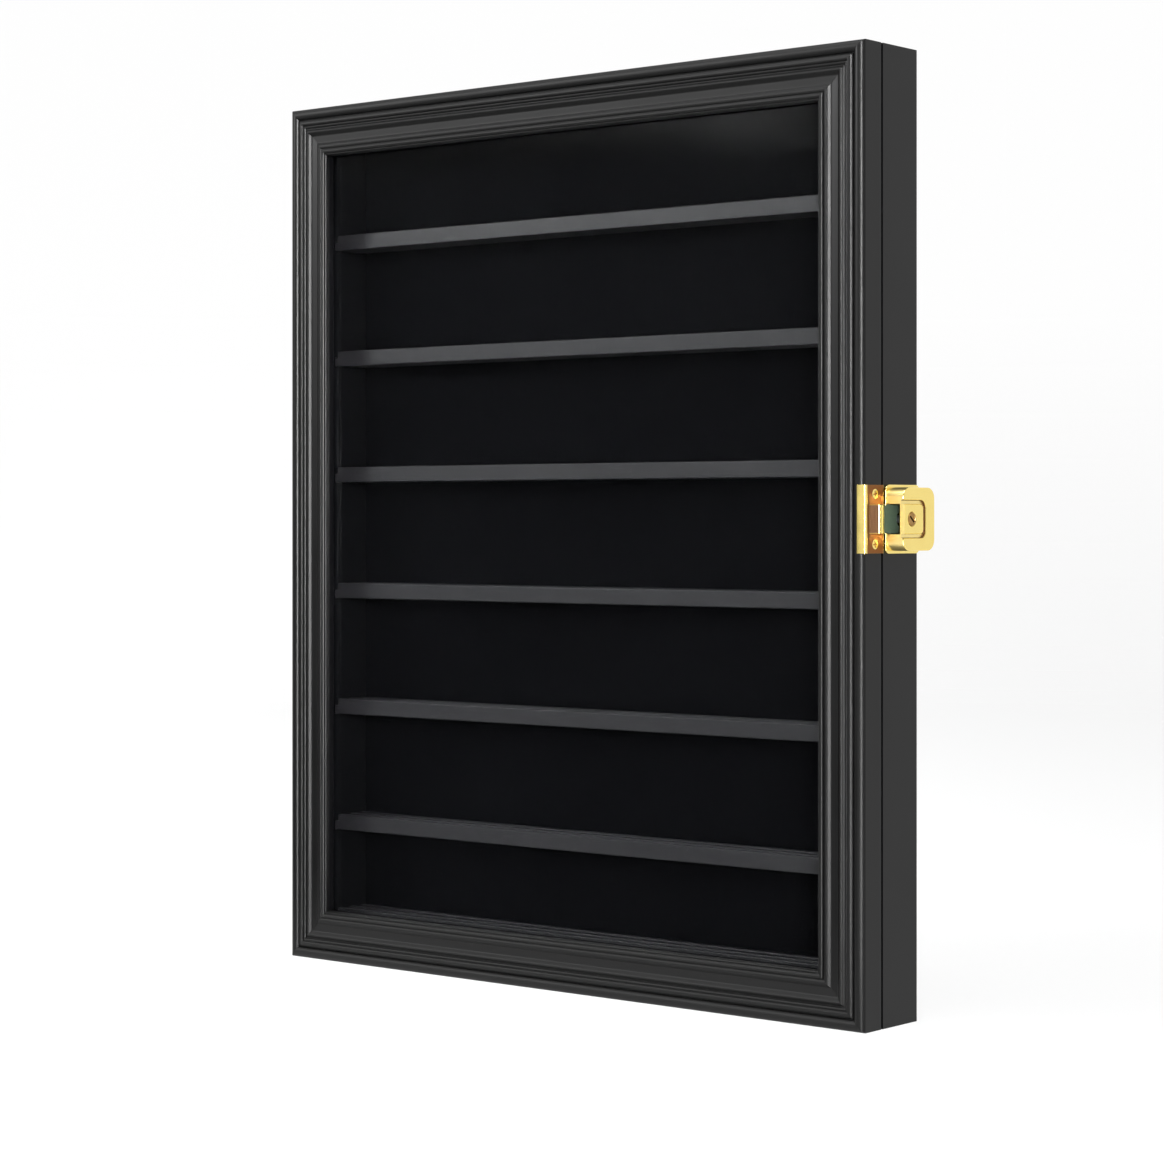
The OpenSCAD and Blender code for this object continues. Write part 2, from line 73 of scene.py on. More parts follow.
Point2 = tuple[float, float]
Point3 = tuple[float, float, float]
Corner = tuple[float, float, float]
Colour = tuple[float, float, float, float]
Outline = list[Point2]
Piece = bpy.types.Object
Tree = bpy.types.NodeTree
Socket = bpy.types.NodeSocket
Value = Union[float, int, str, bool, Sequence[float], Socket, bpy.types.ID]

INF = math.inf
# Most values of a noise texture lie between these two.
NOISE_LOW, NOISE_HIGH = 0.3, 0.7


class Along(Enum):
    """The direction that a wooden member runs in."""

    UP = "up"
    ACROSS = "across"


# Node helpers


def add(
    tree: Tree, kind: str, inputs: Optional[dict[Union[int, str], Value]] = None, **settings: object,
) -> bpy.types.Node:
    """Adds a node with its settings, socket values and links.

    Args:
        tree: The tree that gets the node.
        kind: Blender's name for the kind of node.
        inputs: A value or a socket to link from, for each input by name or number.
        **settings: The node's own properties.

    Returns:
        The new node.
    """
    node = tree.nodes.new(kind)
    for name, value in settings.items():
        setattr(node, name, value)
    for key, value in (inputs or {}).items():
        if isinstance(value, Socket):
            tree.links.new(value, node.inputs[key])
        else:
            node.inputs[key].default_value = value
    return node


def linear(hex_colour: str) -> Colour:
    """Turns an sRGB hex colour into the linear colour that a shader takes.

    Args:
        hex_colour: The colour as six hex digits after a hash sign.

    Returns:
        Linear red, green, blue and an alpha of 1.
    """
    parts = [int(hex_colour[i : i + 2], 16) / 255 for i in (1, 3, 5)]
    lin = [c / 12.92 if c <= 0.04045 else ((c + 0.055) / 1.055) ** 2.4 for c in parts]
    return lin[0], lin[1], lin[2], 1.0


def shaded(colour: Colour, red: float, *others: float) -> Colour:
    """A linear colour times one factor, or times one each for its red, green and blue."""
    green, blue = others or (red, red)
    return colour[0] * red, colour[1] * green, colour[2] * blue, 1.0


def per_mm(pattern_mm: float) -> float:
    """Noise scale, on coordinates in metres, at which a pattern repeats about every pattern_mm."""
    return 1.0 / (pattern_mm * MM)


def blank_material(name: str) -> bpy.types.Material:
    """Makes a material whose node tree is still empty.

    Args:
        name: Its name.

    Returns:
        The material.
    """
    made = bpy.data.materials.new(name)
    made.use_nodes = True
    made.node_tree.nodes.clear()
    return made


# Finishes


@dataclass(frozen=True)
class Finish:
    """A finish of one real material, drawn with nodes on Object coordinates."""

    name: str
    colour: str
    roughness: float

    @functools.cache
    def material(self) -> bpy.types.Material:
        """Makes the Blender material of this finish, once.

        Returns:
            The material.
        """
        made = blank_material(self.name)
        made.diffuse_color = linear(self.colour)
        tree = made.node_tree
        place = add(tree, "ShaderNodeTexCoord").outputs["Object"]
        add(tree, "ShaderNodeOutputMaterial", {"Surface": self.surface(tree, place)})
        return made

    def surface(self, tree: Tree, place: Socket) -> Socket:
        """Builds the shader on Object coordinates and hands over its output socket."""
        raise NotImplementedError


@dataclass(frozen=True)
class SatinLacquer(Finish):
    """Black satin lacquer, sprayed on wood: a soft even gloss with very fine orange peel.

    The eye sees a near-black body colour under grey reflections that follow the mouldings. The
    long grain underneath is filled, and shows as no more than a trace in the tone.
    """

    along: Along = Along.UP
    specular: float = 0.225
    peel_mm: float = 1.1
    peel_strength: float = 0.03
    grain_mm: float = 0.7
    grain_length: float = 24.0
    grain_strength: float = 0.01
    grain_tone: float = 1.35
    relief_mm: float = 0.02
    cloud_mm: float = 38.0
    gloss_sway: float = 0.025

    def surface(self, tree: Tree, place: Socket) -> Socket:
        """Builds the lacquer over its filled grain.

        Args:
            tree: The material's node tree.
            place: Object coordinates.

        Returns:
            The shader's output socket.
        """
        across = 1 / self.grain_length
        stretch = (1, 1, across) if self.along is Along.UP else (across, 1, 1)
        run = add(tree, "ShaderNodeMapping", {"Vector": place, "Scale": stretch}).outputs[0]
        grain, peel, cloud = (
            add(
                tree,
                "ShaderNodeTexNoise",
                {"Vector": at, "Scale": per_mm(size), "Detail": detail, "Roughness": ragged},
            ).outputs["Fac"]
            for at, size, detail, ragged in (
                (run, self.grain_mm, 3.0, 0.6),
                (place, self.peel_mm, 1.0, 0.5),
                (place, self.cloud_mm, 3.0, 0.5),
            )
        )
        body = linear(self.colour)
        tint = add(
            tree, "ShaderNodeMix", {0: grain, 6: body, 7: shaded(body, self.grain_tone)}, data_type="RGBA",
        ).outputs[2]
        gloss = add(
            tree,
            "ShaderNodeMapRange",
            {
                "Value": cloud,
                "From Min": NOISE_LOW,
                "From Max": NOISE_HIGH,
                "To Min": self.roughness - self.gloss_sway,
                "To Max": self.roughness + self.gloss_sway,
            },
        ).outputs[0]
        relief = self.relief_mm * MM
        fine = add(
            tree, "ShaderNodeBump", {"Height": peel, "Strength": self.peel_strength, "Distance": relief},
        ).outputs[0]
        both = add(
            tree,
            "ShaderNodeBump",
            {"Height": grain, "Strength": self.grain_strength, "Distance": relief, "Normal": fine},
        ).outputs[0]
        return add(
            tree,
            "ShaderNodeBsdfPrincipled",
            {"Base Color": tint, "Roughness": gloss, "Specular IOR Level": self.specular, "Normal": both},
        ).outputs[0]


@dataclass(frozen=True)
class Brass(Finish):
    """Polished brass under clear lacquer: bright yellow, with faint polishing marks."""

    mark_mm: float = 0.35
    mark_length: float = 12.5
    mark_depth_mm: float = 0.0012
    mark_strength: float = 0.3
    cloud_mm: float = 9.0
    duller: float = 0.04
    brighter: float = 0.03
    deeper: Point3 = (0.97, 0.93, 0.85)

    def surface(self, tree: Tree, place: Socket) -> Socket:
        """Builds the metal with cloudy polish and fine marks.

        Args:
            tree: The material's node tree.
            place: Object coordinates.

        Returns:
            The shader's output socket.
        """
        stretch = (1, 1, 1 / self.mark_length)
        run = add(tree, "ShaderNodeMapping", {"Vector": place, "Scale": stretch}).outputs[0]
        marks, cloud = (
            add(
                tree, "ShaderNodeTexNoise", {"Vector": at, "Scale": per_mm(size), "Detail": 2.0},
            ).outputs["Fac"]
            for at, size in ((run, self.mark_mm), (place, self.cloud_mm))
        )
        gloss = add(
            tree,
            "ShaderNodeMapRange",
            {
                "Value": cloud,
                "From Min": NOISE_LOW,
                "From Max": NOISE_HIGH,
                "To Min": self.roughness - self.brighter,
                "To Max": self.roughness + self.duller,
            },
        ).outputs[0]
        body = linear(self.colour)
        tint = add(
            tree, "ShaderNodeMix", {0: cloud, 6: body, 7: shaded(body, *self.deeper)}, data_type="RGBA",
        ).outputs[2]
        worn = add(
            tree,
            "ShaderNodeBump",
            {"Height": marks, "Strength": self.mark_strength, "Distance": self.mark_depth_mm * MM},
        ).outputs[0]
        return add(
            tree,
            "ShaderNodeBsdfPrincipled",
            {"Base Color": tint, "Metallic": 1.0, "Roughness": gloss, "Normal": worn},
        ).outputs[0]


@dataclass(frozen=True)
class ZincPlate(Finish):
    """Zinc-plated steel: a cool grey metal with a fine crystalline cloud."""

    crystal_mm: float = 1.6
    dark_tone: float = 0.75
    gloss_sway: float = 0.06

    def surface(self, tree: Tree, place: Socket) -> Socket:
        """Builds the metal with small facets of differing tone.

        Args:
            tree: The material's node tree.
            place: Object coordinates.

        Returns:
            The shader's output socket.
        """
        cells = add(
            tree, "ShaderNodeTexVoronoi", {"Vector": place, "Scale": per_mm(self.crystal_mm)}
        ).outputs["Color"]
        tone = add(tree, "ShaderNodeSeparateColor", {0: cells}).outputs[0]
        body = linear(self.colour)
        tint = add(
            tree, "ShaderNodeMix", {0: tone, 6: shaded(body, self.dark_tone), 7: body}, data_type="RGBA",
        ).outputs[2]
        gloss = add(
            tree,
            "ShaderNodeMapRange",
            {
                "Value": tone,
                "To Min": self.roughness - self.gloss_sway,
                "To Max": self.roughness + self.gloss_sway,
            },
        ).outputs[0]
        return add(
            tree, "ShaderNodeBsdfPrincipled", {"Base Color": tint, "Metallic": 1.0, "Roughness": gloss},
        ).outputs[0]


@dataclass(frozen=True)
class DryCoat(Finish):
    """A flat dry face, whose small mottle shows in its tone and its relief."""

    specular: float = 0.0
    mottle_mm: float = 0.8
    mottle_tone: float = 1.4
    detail: float = 3.0
    raggedness: float = 0.5
    relief_mm: float = 0.03
    relief_strength: float = 0.3

    def pattern(self, tree: Tree, place: Socket) -> tuple[Socket, Socket]:
        """Builds the mottle.

        Args:
            tree: The material's node tree.
            place: Object coordinates.

        Returns:
            Its height and its tone.
        """
        mottle = add(
            tree,
            "ShaderNodeTexNoise",
            {
                "Vector": place,
                "Scale": per_mm(self.mottle_mm),
                "Detail": self.detail,
                "Roughness": self.raggedness,
            },
        ).outputs["Fac"]
        return mottle, mottle

    def surface(self, tree: Tree, place: Socket) -> Socket:
        """Builds the flat face over its pattern.

        Args:
            tree: The material's node tree.
            place: Object coordinates.

        Returns:
            The shader's output socket.
        """
        height, tone = self.pattern(tree, place)
        body = linear(self.colour)
        pale = shaded(body, self.mottle_tone)
        tint = add(tree, "ShaderNodeMix", {0: tone, 6: body, 7: pale}, data_type="RGBA").outputs[2]
        relief = add(
            tree,
            "ShaderNodeBump",
            {"Height": height, "Strength": self.relief_strength, "Distance": self.relief_mm * MM},
        ).outputs[0]
        return add(
            tree,
            "ShaderNodeBsdfPrincipled",
            {
                "Base Color": tint,
                "Roughness": self.roughness,
                "Specular IOR Level": self.specular,
                "Normal": relief,
            },
        ).outputs[0]


@dataclass(frozen=True)
class MattPaint(DryCoat):
    """A flat dusty coat, as inside a case or on a casting left as it came.

    The eye sees an even dull tone that keeps its colour in any light.
    """


@dataclass(frozen=True)
class Hardboard(DryCoat):
    """Black-faced hardboard: flat and dry, with a coarser texture of pressed fibres."""

    specular: float = 0.3
    mottle_mm: float = 1.4
    mottle_tone: float = 1.9
    detail: float = 6.0
    raggedness: float = 0.7
    relief_mm: float = 0.1
    relief_strength: float = 0.5


@dataclass(frozen=True)
class PressedFelt(DryCoat):
    """Black pressed felt: fine matted fibres that swallow the light.

    The fibres are drawn coarser than real ones, so that they show at all.
    """

    mottle_mm: float = 0.5
    mottle_tone: float = 1.9
    detail: float = 4.0
    relief_mm: float = 0.15
    relief_strength: float = 0.6
    lays: Point2 = (0.5, 2.1)
    stretch: float = 0.25
    tips: Point2 = (0.45, 0.75)

    def pattern(self, tree: Tree, place: Socket) -> tuple[Socket, Socket]:
        """Builds the matted fibres from two crossed stretched noises.

        Args:
            tree: The material's node tree.
            place: Object coordinates.

        Returns:
            Their height, and the tone of their tips.
        """
        layers = []
        for turn in self.lays:
            lay = add(
                tree,
                "ShaderNodeMapping",
                {"Vector": place, "Rotation": (0, turn, 0), "Scale": (1, 1, self.stretch)},
            ).outputs[0]
            fibre = {"Vector": lay, "Scale": per_mm(self.mottle_mm), "Detail": self.detail}
            layers.append(add(tree, "ShaderNodeTexNoise", fibre).outputs["Fac"])
        fibres = add(tree, "ShaderNodeMath", {0: layers[0], 1: layers[1]}, operation="MAXIMUM").outputs[0]
        low, high = self.tips
        ramp = {"Value": fibres, "From Min": low, "From Max": high}
        return fibres, add(tree, "ShaderNodeMapRange", ramp).outputs[0]


@dataclass(frozen=True)
class ClearAcrylic(Finish):
    """Clear cast acrylic sheet: almost unseen from the front, with a soft gloss.

    The eye sees what it covers, and a faint mirror image of the lights over the top row.
    """

    ior: float = 1.49
    specular: float = 0.12
    haze_mm: float = 60.0
    haze_roughness: float = 0.03

    def surface(self, tree: Tree, place: Socket) -> Socket:
        """Builds a clear sheet that lets light through to what it covers.

        Args:
            tree: The material's node tree.
            place: Object coordinates.

        Returns:
            The shader's output socket.
        """
        haze = add(
            tree, "ShaderNodeTexNoise", {"Vector": place, "Scale": per_mm(self.haze_mm), "Detail": 2.0},
        ).outputs["Fac"]
        gloss = add(
            tree,
            "ShaderNodeMapRange",
            {"Value": haze, "To Min": self.roughness, "To Max": self.roughness + self.haze_roughness},
        ).outputs[0]
        clear = add(
            tree,
            "ShaderNodeBsdfPrincipled",
            {
                "Base Color": linear(self.colour),
                "Roughness": gloss,
                "IOR": self.ior,
                "Specular IOR Level": self.specular,
                "Transmission Weight": 1.0,
            },
        ).outputs[0]
        open_way = add(tree, "ShaderNodeBsdfTransparent", {"Color": linear(self.colour)}).outputs[0]
        shadow = add(tree, "ShaderNodeLightPath").outputs["Is Shadow Ray"]
        return add(tree, "ShaderNodeMixShader", {0: shadow, 1: clear, 2: open_way}).outputs[0]


# The upright members mirror the lights more sharply than the rails and the shelf fronts.
LACQUER_UP = SatinLacquer("satin_lacquer_upright", "#070707", 0.36, Along.UP)
LACQUER_ACROSS = SatinLacquer("satin_lacquer_cross", "#0b0b0b", 0.5, Along.ACROSS)
SHELF_LACQUER = SatinLacquer("satin_lacquer_shelf", "#121113", 0.45, Along.ACROSS)
# Inside the case, round the pane and in the seam a dead flat paint without gloss keeps these places dark:
# painted shade where the case's own shade falls.
FLAT_SHADE_PAINT = MattPaint("matt_inner_paint", "#070708", 0.85)
FELT = PressedFelt("pressed_felt", "#050506", 0.95)
HARDBOARD = Hardboard("black_hardboard", "#18181a", 0.75)
ACRYLIC = ClearAcrylic("clear_acrylic", "#fbfdfd", 0.02)
# The faces of the lock shine and its flanks are a satin brass. Its channel and the strap's front are
# painted brown, a painted shade and brass-in-brass reflection, and the strike's flat plate is painted a
# deeper orange, a painted reflection. Its inside is painted a dull grey green: the painted shade and dark
# reflection seen through the notch.
BRASS = Brass("polished_brass", "#fae38b", 0.10)
SATIN_BRASS = Brass("satin_brass", "#f8e296", 0.32)
PLUG_BRASS = Brass("turned_brass", "#a88450", 0.28)
REFLECTION_BRASS = Brass("darkened_brass", "#86552a", 0.32)
BROWN_SHADE_BRASS = MattPaint("browned_brass", "#50310f", 0.5, 0.15)
GREEN_SHADE_BRASS = MattPaint("dull_cast_brass", "#3c493b", 0.7, 0.15)
ZINC = ZincPlate("zinc_plate", "#b4b8bc", 0.34)

FINISH_OF_SLOT = {
    "satin_black_wood": LACQUER_UP,
    "satin_black_moulding": LACQUER_UP,
    "satin_black_shelf": SHELF_LACQUER,
    "black_hardboard": HARDBOARD,
    "black_felt": FELT,
    "polished_brass": BRASS,
    "plug_brass": PLUG_BRASS,
    "zinc_steel": ZINC,
    "clear_acrylic": ACRYLIC,
}


# The case's place in the frame


class Side(Enum):
    """The four sides of a frame."""

    LEFT = "left"
    RIGHT = "right"
    TOP = "top"
    BOTTOM = "bottom"

    @property
    def upright(self) -> bool:
        """Whether a member on this side stands up."""
        return self in (Side.LEFT, Side.RIGHT)


@dataclass(frozen=True)
class CaseFrame:
    """Overall sizes of the case in millimetres, read from the frame."""

    width: float
    height: float
    depth: float

    @classmethod
    def read(cls) -> "CaseFrame":
        """Reads the sizes from the frame, whose origin is the middle of the base."""
        low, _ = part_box("case_side_left")
        _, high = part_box("case_side_right")
        return cls(width=(high.x - low.x) / MM, height=high.z / MM, depth=2 * high.y / MM)

    def place(self) -> Matrix:
        """The matrix from the drawing corner in millimetres to the frame in metres."""
        return Matrix.Scale(MM, 4) @ Matrix.Translation((-self.width / 2, -self.depth / 2, 0))

    def span(self, node: str) -> tuple[Vector, Vector]:
        """Measures a node of the frame.

        Args:
            node: Its name.

        Returns:
            Its lowest and highest corner, in millimetres from the drawing corner.
        """
        low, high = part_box(node)
        back = self.place().inverted()
        return back @ low, back @ high

    def seam(self) -> float:
        """How far behind the front of the door the box of the case starts."""
        return self.span("case_side_left")[0].y

    def length(self, side: Side) -> float:
        """Length of a member that forms a whole side of the case or of the door."""
        return self.height if side.upright else self.width

    def opposite(self) -> Matrix:
        """The half turn that takes the left side to the right and the bottom to the top."""
        return Matrix.Translation((self.width, 0, self.height)) @ Matrix.Rotation(math.pi, 4, "Y")

    def along(self, side: Side, length: float, inset: float, y: float) -> Matrix:
        """Where a member drawn upright at the origin goes.

        Args:
            side: The side of the frame that it forms.
            length: Its length.
            inset: How far its outer edge lies inside the outer edge of the case.
            y: How far behind the front of the door its drawing starts.

        Returns:
            The matrix from the member's own drawing to the case's.
        """
        start = Matrix.Translation((inset, y, inset))
        if not side.upright:
            shift = Matrix.Translation((length, 0, 0))
            start = start @ shift @ Matrix.Rotation(-math.pi / 2, 4, "Y")
        return self.opposite() @ start if side in (Side.RIGHT, Side.TOP) else start


# Pieces in the making


def drafted(name: str, mesh: bpy.types.Mesh) -> Piece:
    """Puts a mesh into the scene as an object, to be worked on.

    Args:
        name: The object's name.
        mesh: The mesh.

    Returns:
        The object.
    """
    piece = bpy.data.objects.new(name, mesh)
    bpy.context.scene.collection.objects.link(piece)
    return piece


def poured(name: str, work: bmesh.types.BMesh) -> Piece:
    """Makes a piece out of a mesh in the making, which is used up.

    Args:
        name: The piece's name.
        work: The mesh in the making.

    Returns:
        The piece.
    """
    mesh = bpy.data.meshes.new(name)
    work.to_mesh(mesh)
    work.free()
    return drafted(name, mesh)


def discarded(*pieces: Piece) -> None:
    """Removes helper objects and their meshes.

    Args:
        *pieces: The helper objects.
    """
    for piece in pieces:
        mesh = piece.data
        bpy.data.objects.remove(piece)
        bpy.data.meshes.remove(mesh)


def settled(piece: Piece) -> Piece:
    """Turns a piece with its modifiers into a plain mesh.

    Args:
        piece: The piece.

    Returns:
        The same piece.
    """
    bpy.context.view_layer.update()
    graph = bpy.context.evaluated_depsgraph_get()
    mesh = bpy.data.meshes.new_from_object(piece.evaluated_get(graph))
    old = piece.data
    piece.modifiers.clear()
    piece.data = mesh
    bpy.data.meshes.remove(old)
    mesh.name = piece.name
    return piece


def turned_to(piece: Piece, matrix: Matrix) -> Piece:
    """Moves a piece by moving its mesh, so that its object stays at the origin.

    Args:
        piece: The piece.
        matrix: The move.

    Returns:
        The same piece.
    """
    piece.data.transform(matrix)
    piece.data.update()
    return piece


def combined(piece: Piece, operation: str, *others: Piece) -> Piece:
    """Cuts helper solids out of a piece, or adds them to it, and removes the helpers.

    Args:
        piece: The piece that is changed.
        operation: DIFFERENCE or UNION.
        *others: The helper solids.

    Returns:
        The same piece.
    """
    for other in others:
        step = piece.modifiers.new(other.name, "BOOLEAN")
        step.solver = "EXACT"
        step.operation = operation
        step.object = other
    settled(piece)
    discarded(*others)
    return piece


def eased(piece: Piece, width: float, angle: float = 35.0) -> Piece:
    """Rounds the sharp edges of a piece a little, as every real edge is.

    Args:
        piece: The piece.
        width: Width of the rounding, in the piece's own units.
        angle: Edges that turn by more than this many degrees are rounded.

    Returns:
        The same piece.
    """
    step = piece.modifiers.new("eased", "BEVEL")
    step.width = width
    step.segments = 2
    step.limit_method = "ANGLE"
    step.angle_limit = math.radians(angle)
    step.use_clamp_overlap = True
    return settled(piece)


def smoothed(piece: Piece, angle: float = 35.0) -> Piece:
    """Shades a piece smooth over its gentle edges, with the flat faces kept flat.

    Args:
        piece: The piece.
        angle: Edges that turn by more than this many degrees stay sharp.

    Returns:
        The same piece.
    """
    mesh = piece.data
    mesh.polygons.foreach_set("use_smooth", [True] * len(mesh.polygons))
    mesh.set_sharp_from_angle(angle=math.radians(angle))
    step = piece.modifiers.new("flats", "WEIGHTED_NORMAL")
    step.keep_sharp = True
    return settled(piece)


def skinned(work: bmesh.types.BMesh, rings: Sequence[Sequence[bmesh.types.BMVert]]) -> None:
    """Spans faces between closed rings of the same number of points.

    Args:
        work: The mesh in the making.
        rings: The rings in order.
    """
    count = len(rings[0])
    for one, two in zip(rings, rings[1:]):
        for i in range(count):
            j = (i + 1) % count
            work.faces.new((one[i], one[j], two[j], two[i]))


def lofted(name: str, rings: Sequence[Sequence[Vector]]) -> Piece:
    """Skins closed rings of the same number of points, with a face on each end.

    Args:
        name: The piece's name.
        rings: The rings in order.

    Returns:
        A closed piece.
    """
    work = bmesh.new()
    loops = [[work.verts.new(point) for point in ring] for ring in rings]
    skinned(work, loops)
    work.faces.new(list(reversed(loops[0])))
    work.faces.new(loops[-1])
    bmesh.ops.recalc_face_normals(work, faces=work.faces)
    return poured(name, work)


def block(name: str, low: Sequence[float], high: Sequence[float]) -> Piece:
    """Makes a closed block, to be eased or used as a cutter.

    Args:
        name: The block's name.
        low: Its lowest corner.
        high: Its highest corner.

    Returns:
        The block.
    """
    (x0, y0, z0), (x1, y1, z1) = low, high
    ends = [(y0, z0), (y1, z0), (y1, z1), (y0, z1)]
    return lofted(name, [[Vector((x, y, z)) for y, z in ends] for x in (x0, x1)])


def dress(piece: Piece, finish: Finish) -> Piece:
    """Gives a piece one finish all over.

    Args:
        piece: The piece.
        finish: The finish.

    Returns:
        The same piece.
    """
    piece.data.materials.clear()
    piece.data.materials.append(finish.material())
    return piece


@dataclass(frozen=True)
class Zone:
    """A box-shaped zone, to pick the faces whose middle lies inside it."""

    x: Point2 = (-INF, INF)
    y: Point2 = (-INF, INF)
    z: Point2 = (-INF, INF)

    def holds(self, at: Vector) -> bool:
        """Whether a place lies inside."""
        return all(low < here < high for here, (low, high) in zip(at, (self.x, self.y, self.z)))


def lined(piece: Piece, finish: Finish, *zones: Zone) -> Piece:
    """Gives some faces of a piece a second finish.

    Args:
        piece: The piece, already dressed.
        finish: The second finish.
        *zones: The zones whose faces get it.

    Returns:
        The same piece.
    """
    piece.data.materials.append(finish.material())
    for face in piece.data.polygons:
        if any(zone.holds(face.center) for zone in zones):
            face.material_index = len(piece.data.materials) - 1
    return piece


def seat(piece: Piece, body: str, slot: str, node: str) -> None:
    """Lets a finished piece ride on a body and stand for its node.

    Args:
        piece: The finished piece.
        body: The body that it moves with.
        slot: The record's material slot; not used.
        node: The node that it stands for.
    """
    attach(piece, body)
    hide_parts(node)
    triangles = sum(len(face.vertices) - 2 for face in piece.data.polygons)
    log.info("%s: %d triangles, on %s", piece.name, triangles, body)


# Outlines


def swell(s0: float, s1: float, y0: float, y1: float, rise: float, steps: int) -> Outline:
    """A bead that swells towards the front between two points of a moulding.

    Args:
        s0: Where it starts, across the moulding.
        s1: Where it ends.
        y0: Depth at its start.
        y1: Depth at its end.
        rise: How far its middle stands forward.
        steps: Number of straight steps.

    Returns:
        The points, both ends included.
    """
    points = []
    for i in range(steps + 1):
        a = math.pi * i / steps
        t = (1 - math.cos(a)) / 2
        points.append((s0 + (s1 - s0) * t, y0 + (y1 - y0) * t - rise * math.sin(a)))
    return points


def slope(s0: float, s1: float, y0: float, y1: float, steps: int) -> Outline:
    """A smooth slope from one depth to another.

    Args:
        s0: Where it starts, across the moulding.
        s1: Where it ends.
        y0: Depth at its start.
        y1: Depth at its end.
        steps: Number of straight steps.

    Returns:
        The points, without the last one, which the next stretch brings.
    """
    return [
        (s0 + (s1 - s0) * i / steps, y0 + (y1 - y0) * (1 - math.cos(math.pi * i / steps)) / 2)
        for i in range(steps)
    ]


def arc(centre: Point2, radius: float, first: float, last: float, steps: int) -> Outline:
    """Points along an arc.

    Args:
        centre: Its centre.
        radius: Its radius.
        first: The angle of its first point, in degrees.
        last: The angle of its last point.
        steps: Number of straight steps.

    Returns:
        The points, both ends included.
    """
    turns = [math.radians(first + (last - first) * i / steps) for i in range(steps + 1)]
    x, y = centre
    return [(x + radius * math.cos(a), y + radius * math.sin(a)) for a in turns]


def sharp(points: Outline) -> list[Corner]:
    """Lists points of an outline as corners that stay sharp."""
    return [(x, y, 0.0) for x, y in points]


def rounded(corners: Sequence[Corner], steps: int = 5) -> Outline:
    """An outline through corners that are each turned into an arc.

    Args:
        corners: x, y and radius of each corner in order; a radius of 0 keeps it sharp.
        steps: Number of straight steps in each arc.

    Returns:
        The points of the outline.
    """
    points: Outline = []
    for i, (x, y, radius) in enumerate(corners):
        if radius <= 0:
            points.append((x, y))
            continue
        here = Vector((x, y))
        back = (Vector(corners[i - 1][:2]) - here).normalized()
        on = (Vector(corners[(i + 1) % len(corners)][:2]) - here).normalized()
        half = back.angle(on) / 2
        centre = here + (back + on).normalized() * radius / math.sin(half)
        start = here + back * radius / math.tan(half) - centre
        end = here + on * radius / math.tan(half) - centre
        for k in range(steps + 1):
            points.append(tuple(centre + start.slerp(end, k / steps).normalized() * radius))
    return points


# Members


@functools.cache
def member_tree() -> Tree:
    """Builds the Geometry Nodes tree that draws a member from its section.

    The section lies in the XY plane. It is drawn out along Z, closed at the foot, and sheared at
    both ends so that the outer edge, at X = 0, is the longest: a mitre.

    Returns:
        The tree.
    """
    tree = bpy.data.node_groups.new("member_from_section", "GeometryNodeTree")
    sockets = tree.interface
    sockets.new_socket("Section", in_out="INPUT", socket_type="NodeSocketGeometry")
    for name in ("Length", "Mitre", "Hairline"):
        sockets.new_socket(name, in_out="INPUT", socket_type="NodeSocketFloat")
    sockets.new_socket("Finish", in_out="INPUT", socket_type="NodeSocketMaterial")
    sockets.new_socket("Member", in_out="OUTPUT", socket_type="NodeSocketGeometry")
    given = add(tree, "NodeGroupInput").outputs
    drawn = add(
        tree,
        "GeometryNodeExtrudeMesh",
        {
            "Mesh": given["Section"],
            "Offset": (0, 0, 1),
            "Offset Scale": given["Length"],
            "Individual": False,
        },
        mode="FACES",
    ).outputs["Mesh"]
    foot = add(tree, "GeometryNodeFlipFaces", {"Mesh": given["Section"]}).outputs["Mesh"]
    shell = add(tree, "GeometryNodeJoinGeometry", {"Geometry": drawn})
    tree.links.new(foot, shell.inputs["Geometry"])
    closed = add(
        tree, "GeometryNodeMergeByDistance", {"Geometry": shell.outputs["Geometry"], "Distance": 0.0005},
    ).outputs["Geometry"]
    place = add(
        tree, "ShaderNodeSeparateXYZ", {0: add(tree, "GeometryNodeInputPosition").outputs["Position"]},
    ).outputs
    end = add(
        tree,
        "ShaderNodeMapRange",
        {"Value": place["Z"], "From Max": given["Length"], "To Min": 1.0, "To Max": -1.0},
    ).outputs[0]
    slant = add(
        tree,
        "ShaderNodeMath",
        {0: place["X"], 1: given["Mitre"], 2: given["Hairline"]},
        operation="MULTIPLY_ADD",
    ).outputs[0]
    shift = add(tree, "ShaderNodeMath", {0: slant, 1: end}, operation="MULTIPLY").outputs[0]
    mitred = add(
        tree,
        "GeometryNodeSetPosition",
        {"Geometry": closed, "Offset": add(tree, "ShaderNodeCombineXYZ", {"Z": shift}).outputs[0]},
    ).outputs["Geometry"]
    plain = add(tree, "GeometryNodeRealizeInstances", {"Geometry": mitred}).outputs["Geometry"]
    finished = add(
        tree, "GeometryNodeSetMaterial", {"Geometry": plain, "Material": given["Finish"]}
    ).outputs["Geometry"]
    add(tree, "NodeGroupOutput", {"Member": finished})
    return tree


def grown(piece: Piece, tree: Tree, values: dict[str, Value]) -> Piece:
    """Runs a Geometry Nodes tree on a piece and keeps the plain mesh.

    Args:
        piece: The piece that the tree starts from.
        tree: The tree.
        values: A value for each named input.

    Returns:
        The same piece.
    """
    step = piece.modifiers.new(tree.name, "NODES")
    step.node_group = tree
    for socket in tree.interface.items_tree:
        if socket.in_out == "INPUT" and socket.name in values:
            step[socket.identifier] = values[socket.name]
    return settled(piece)


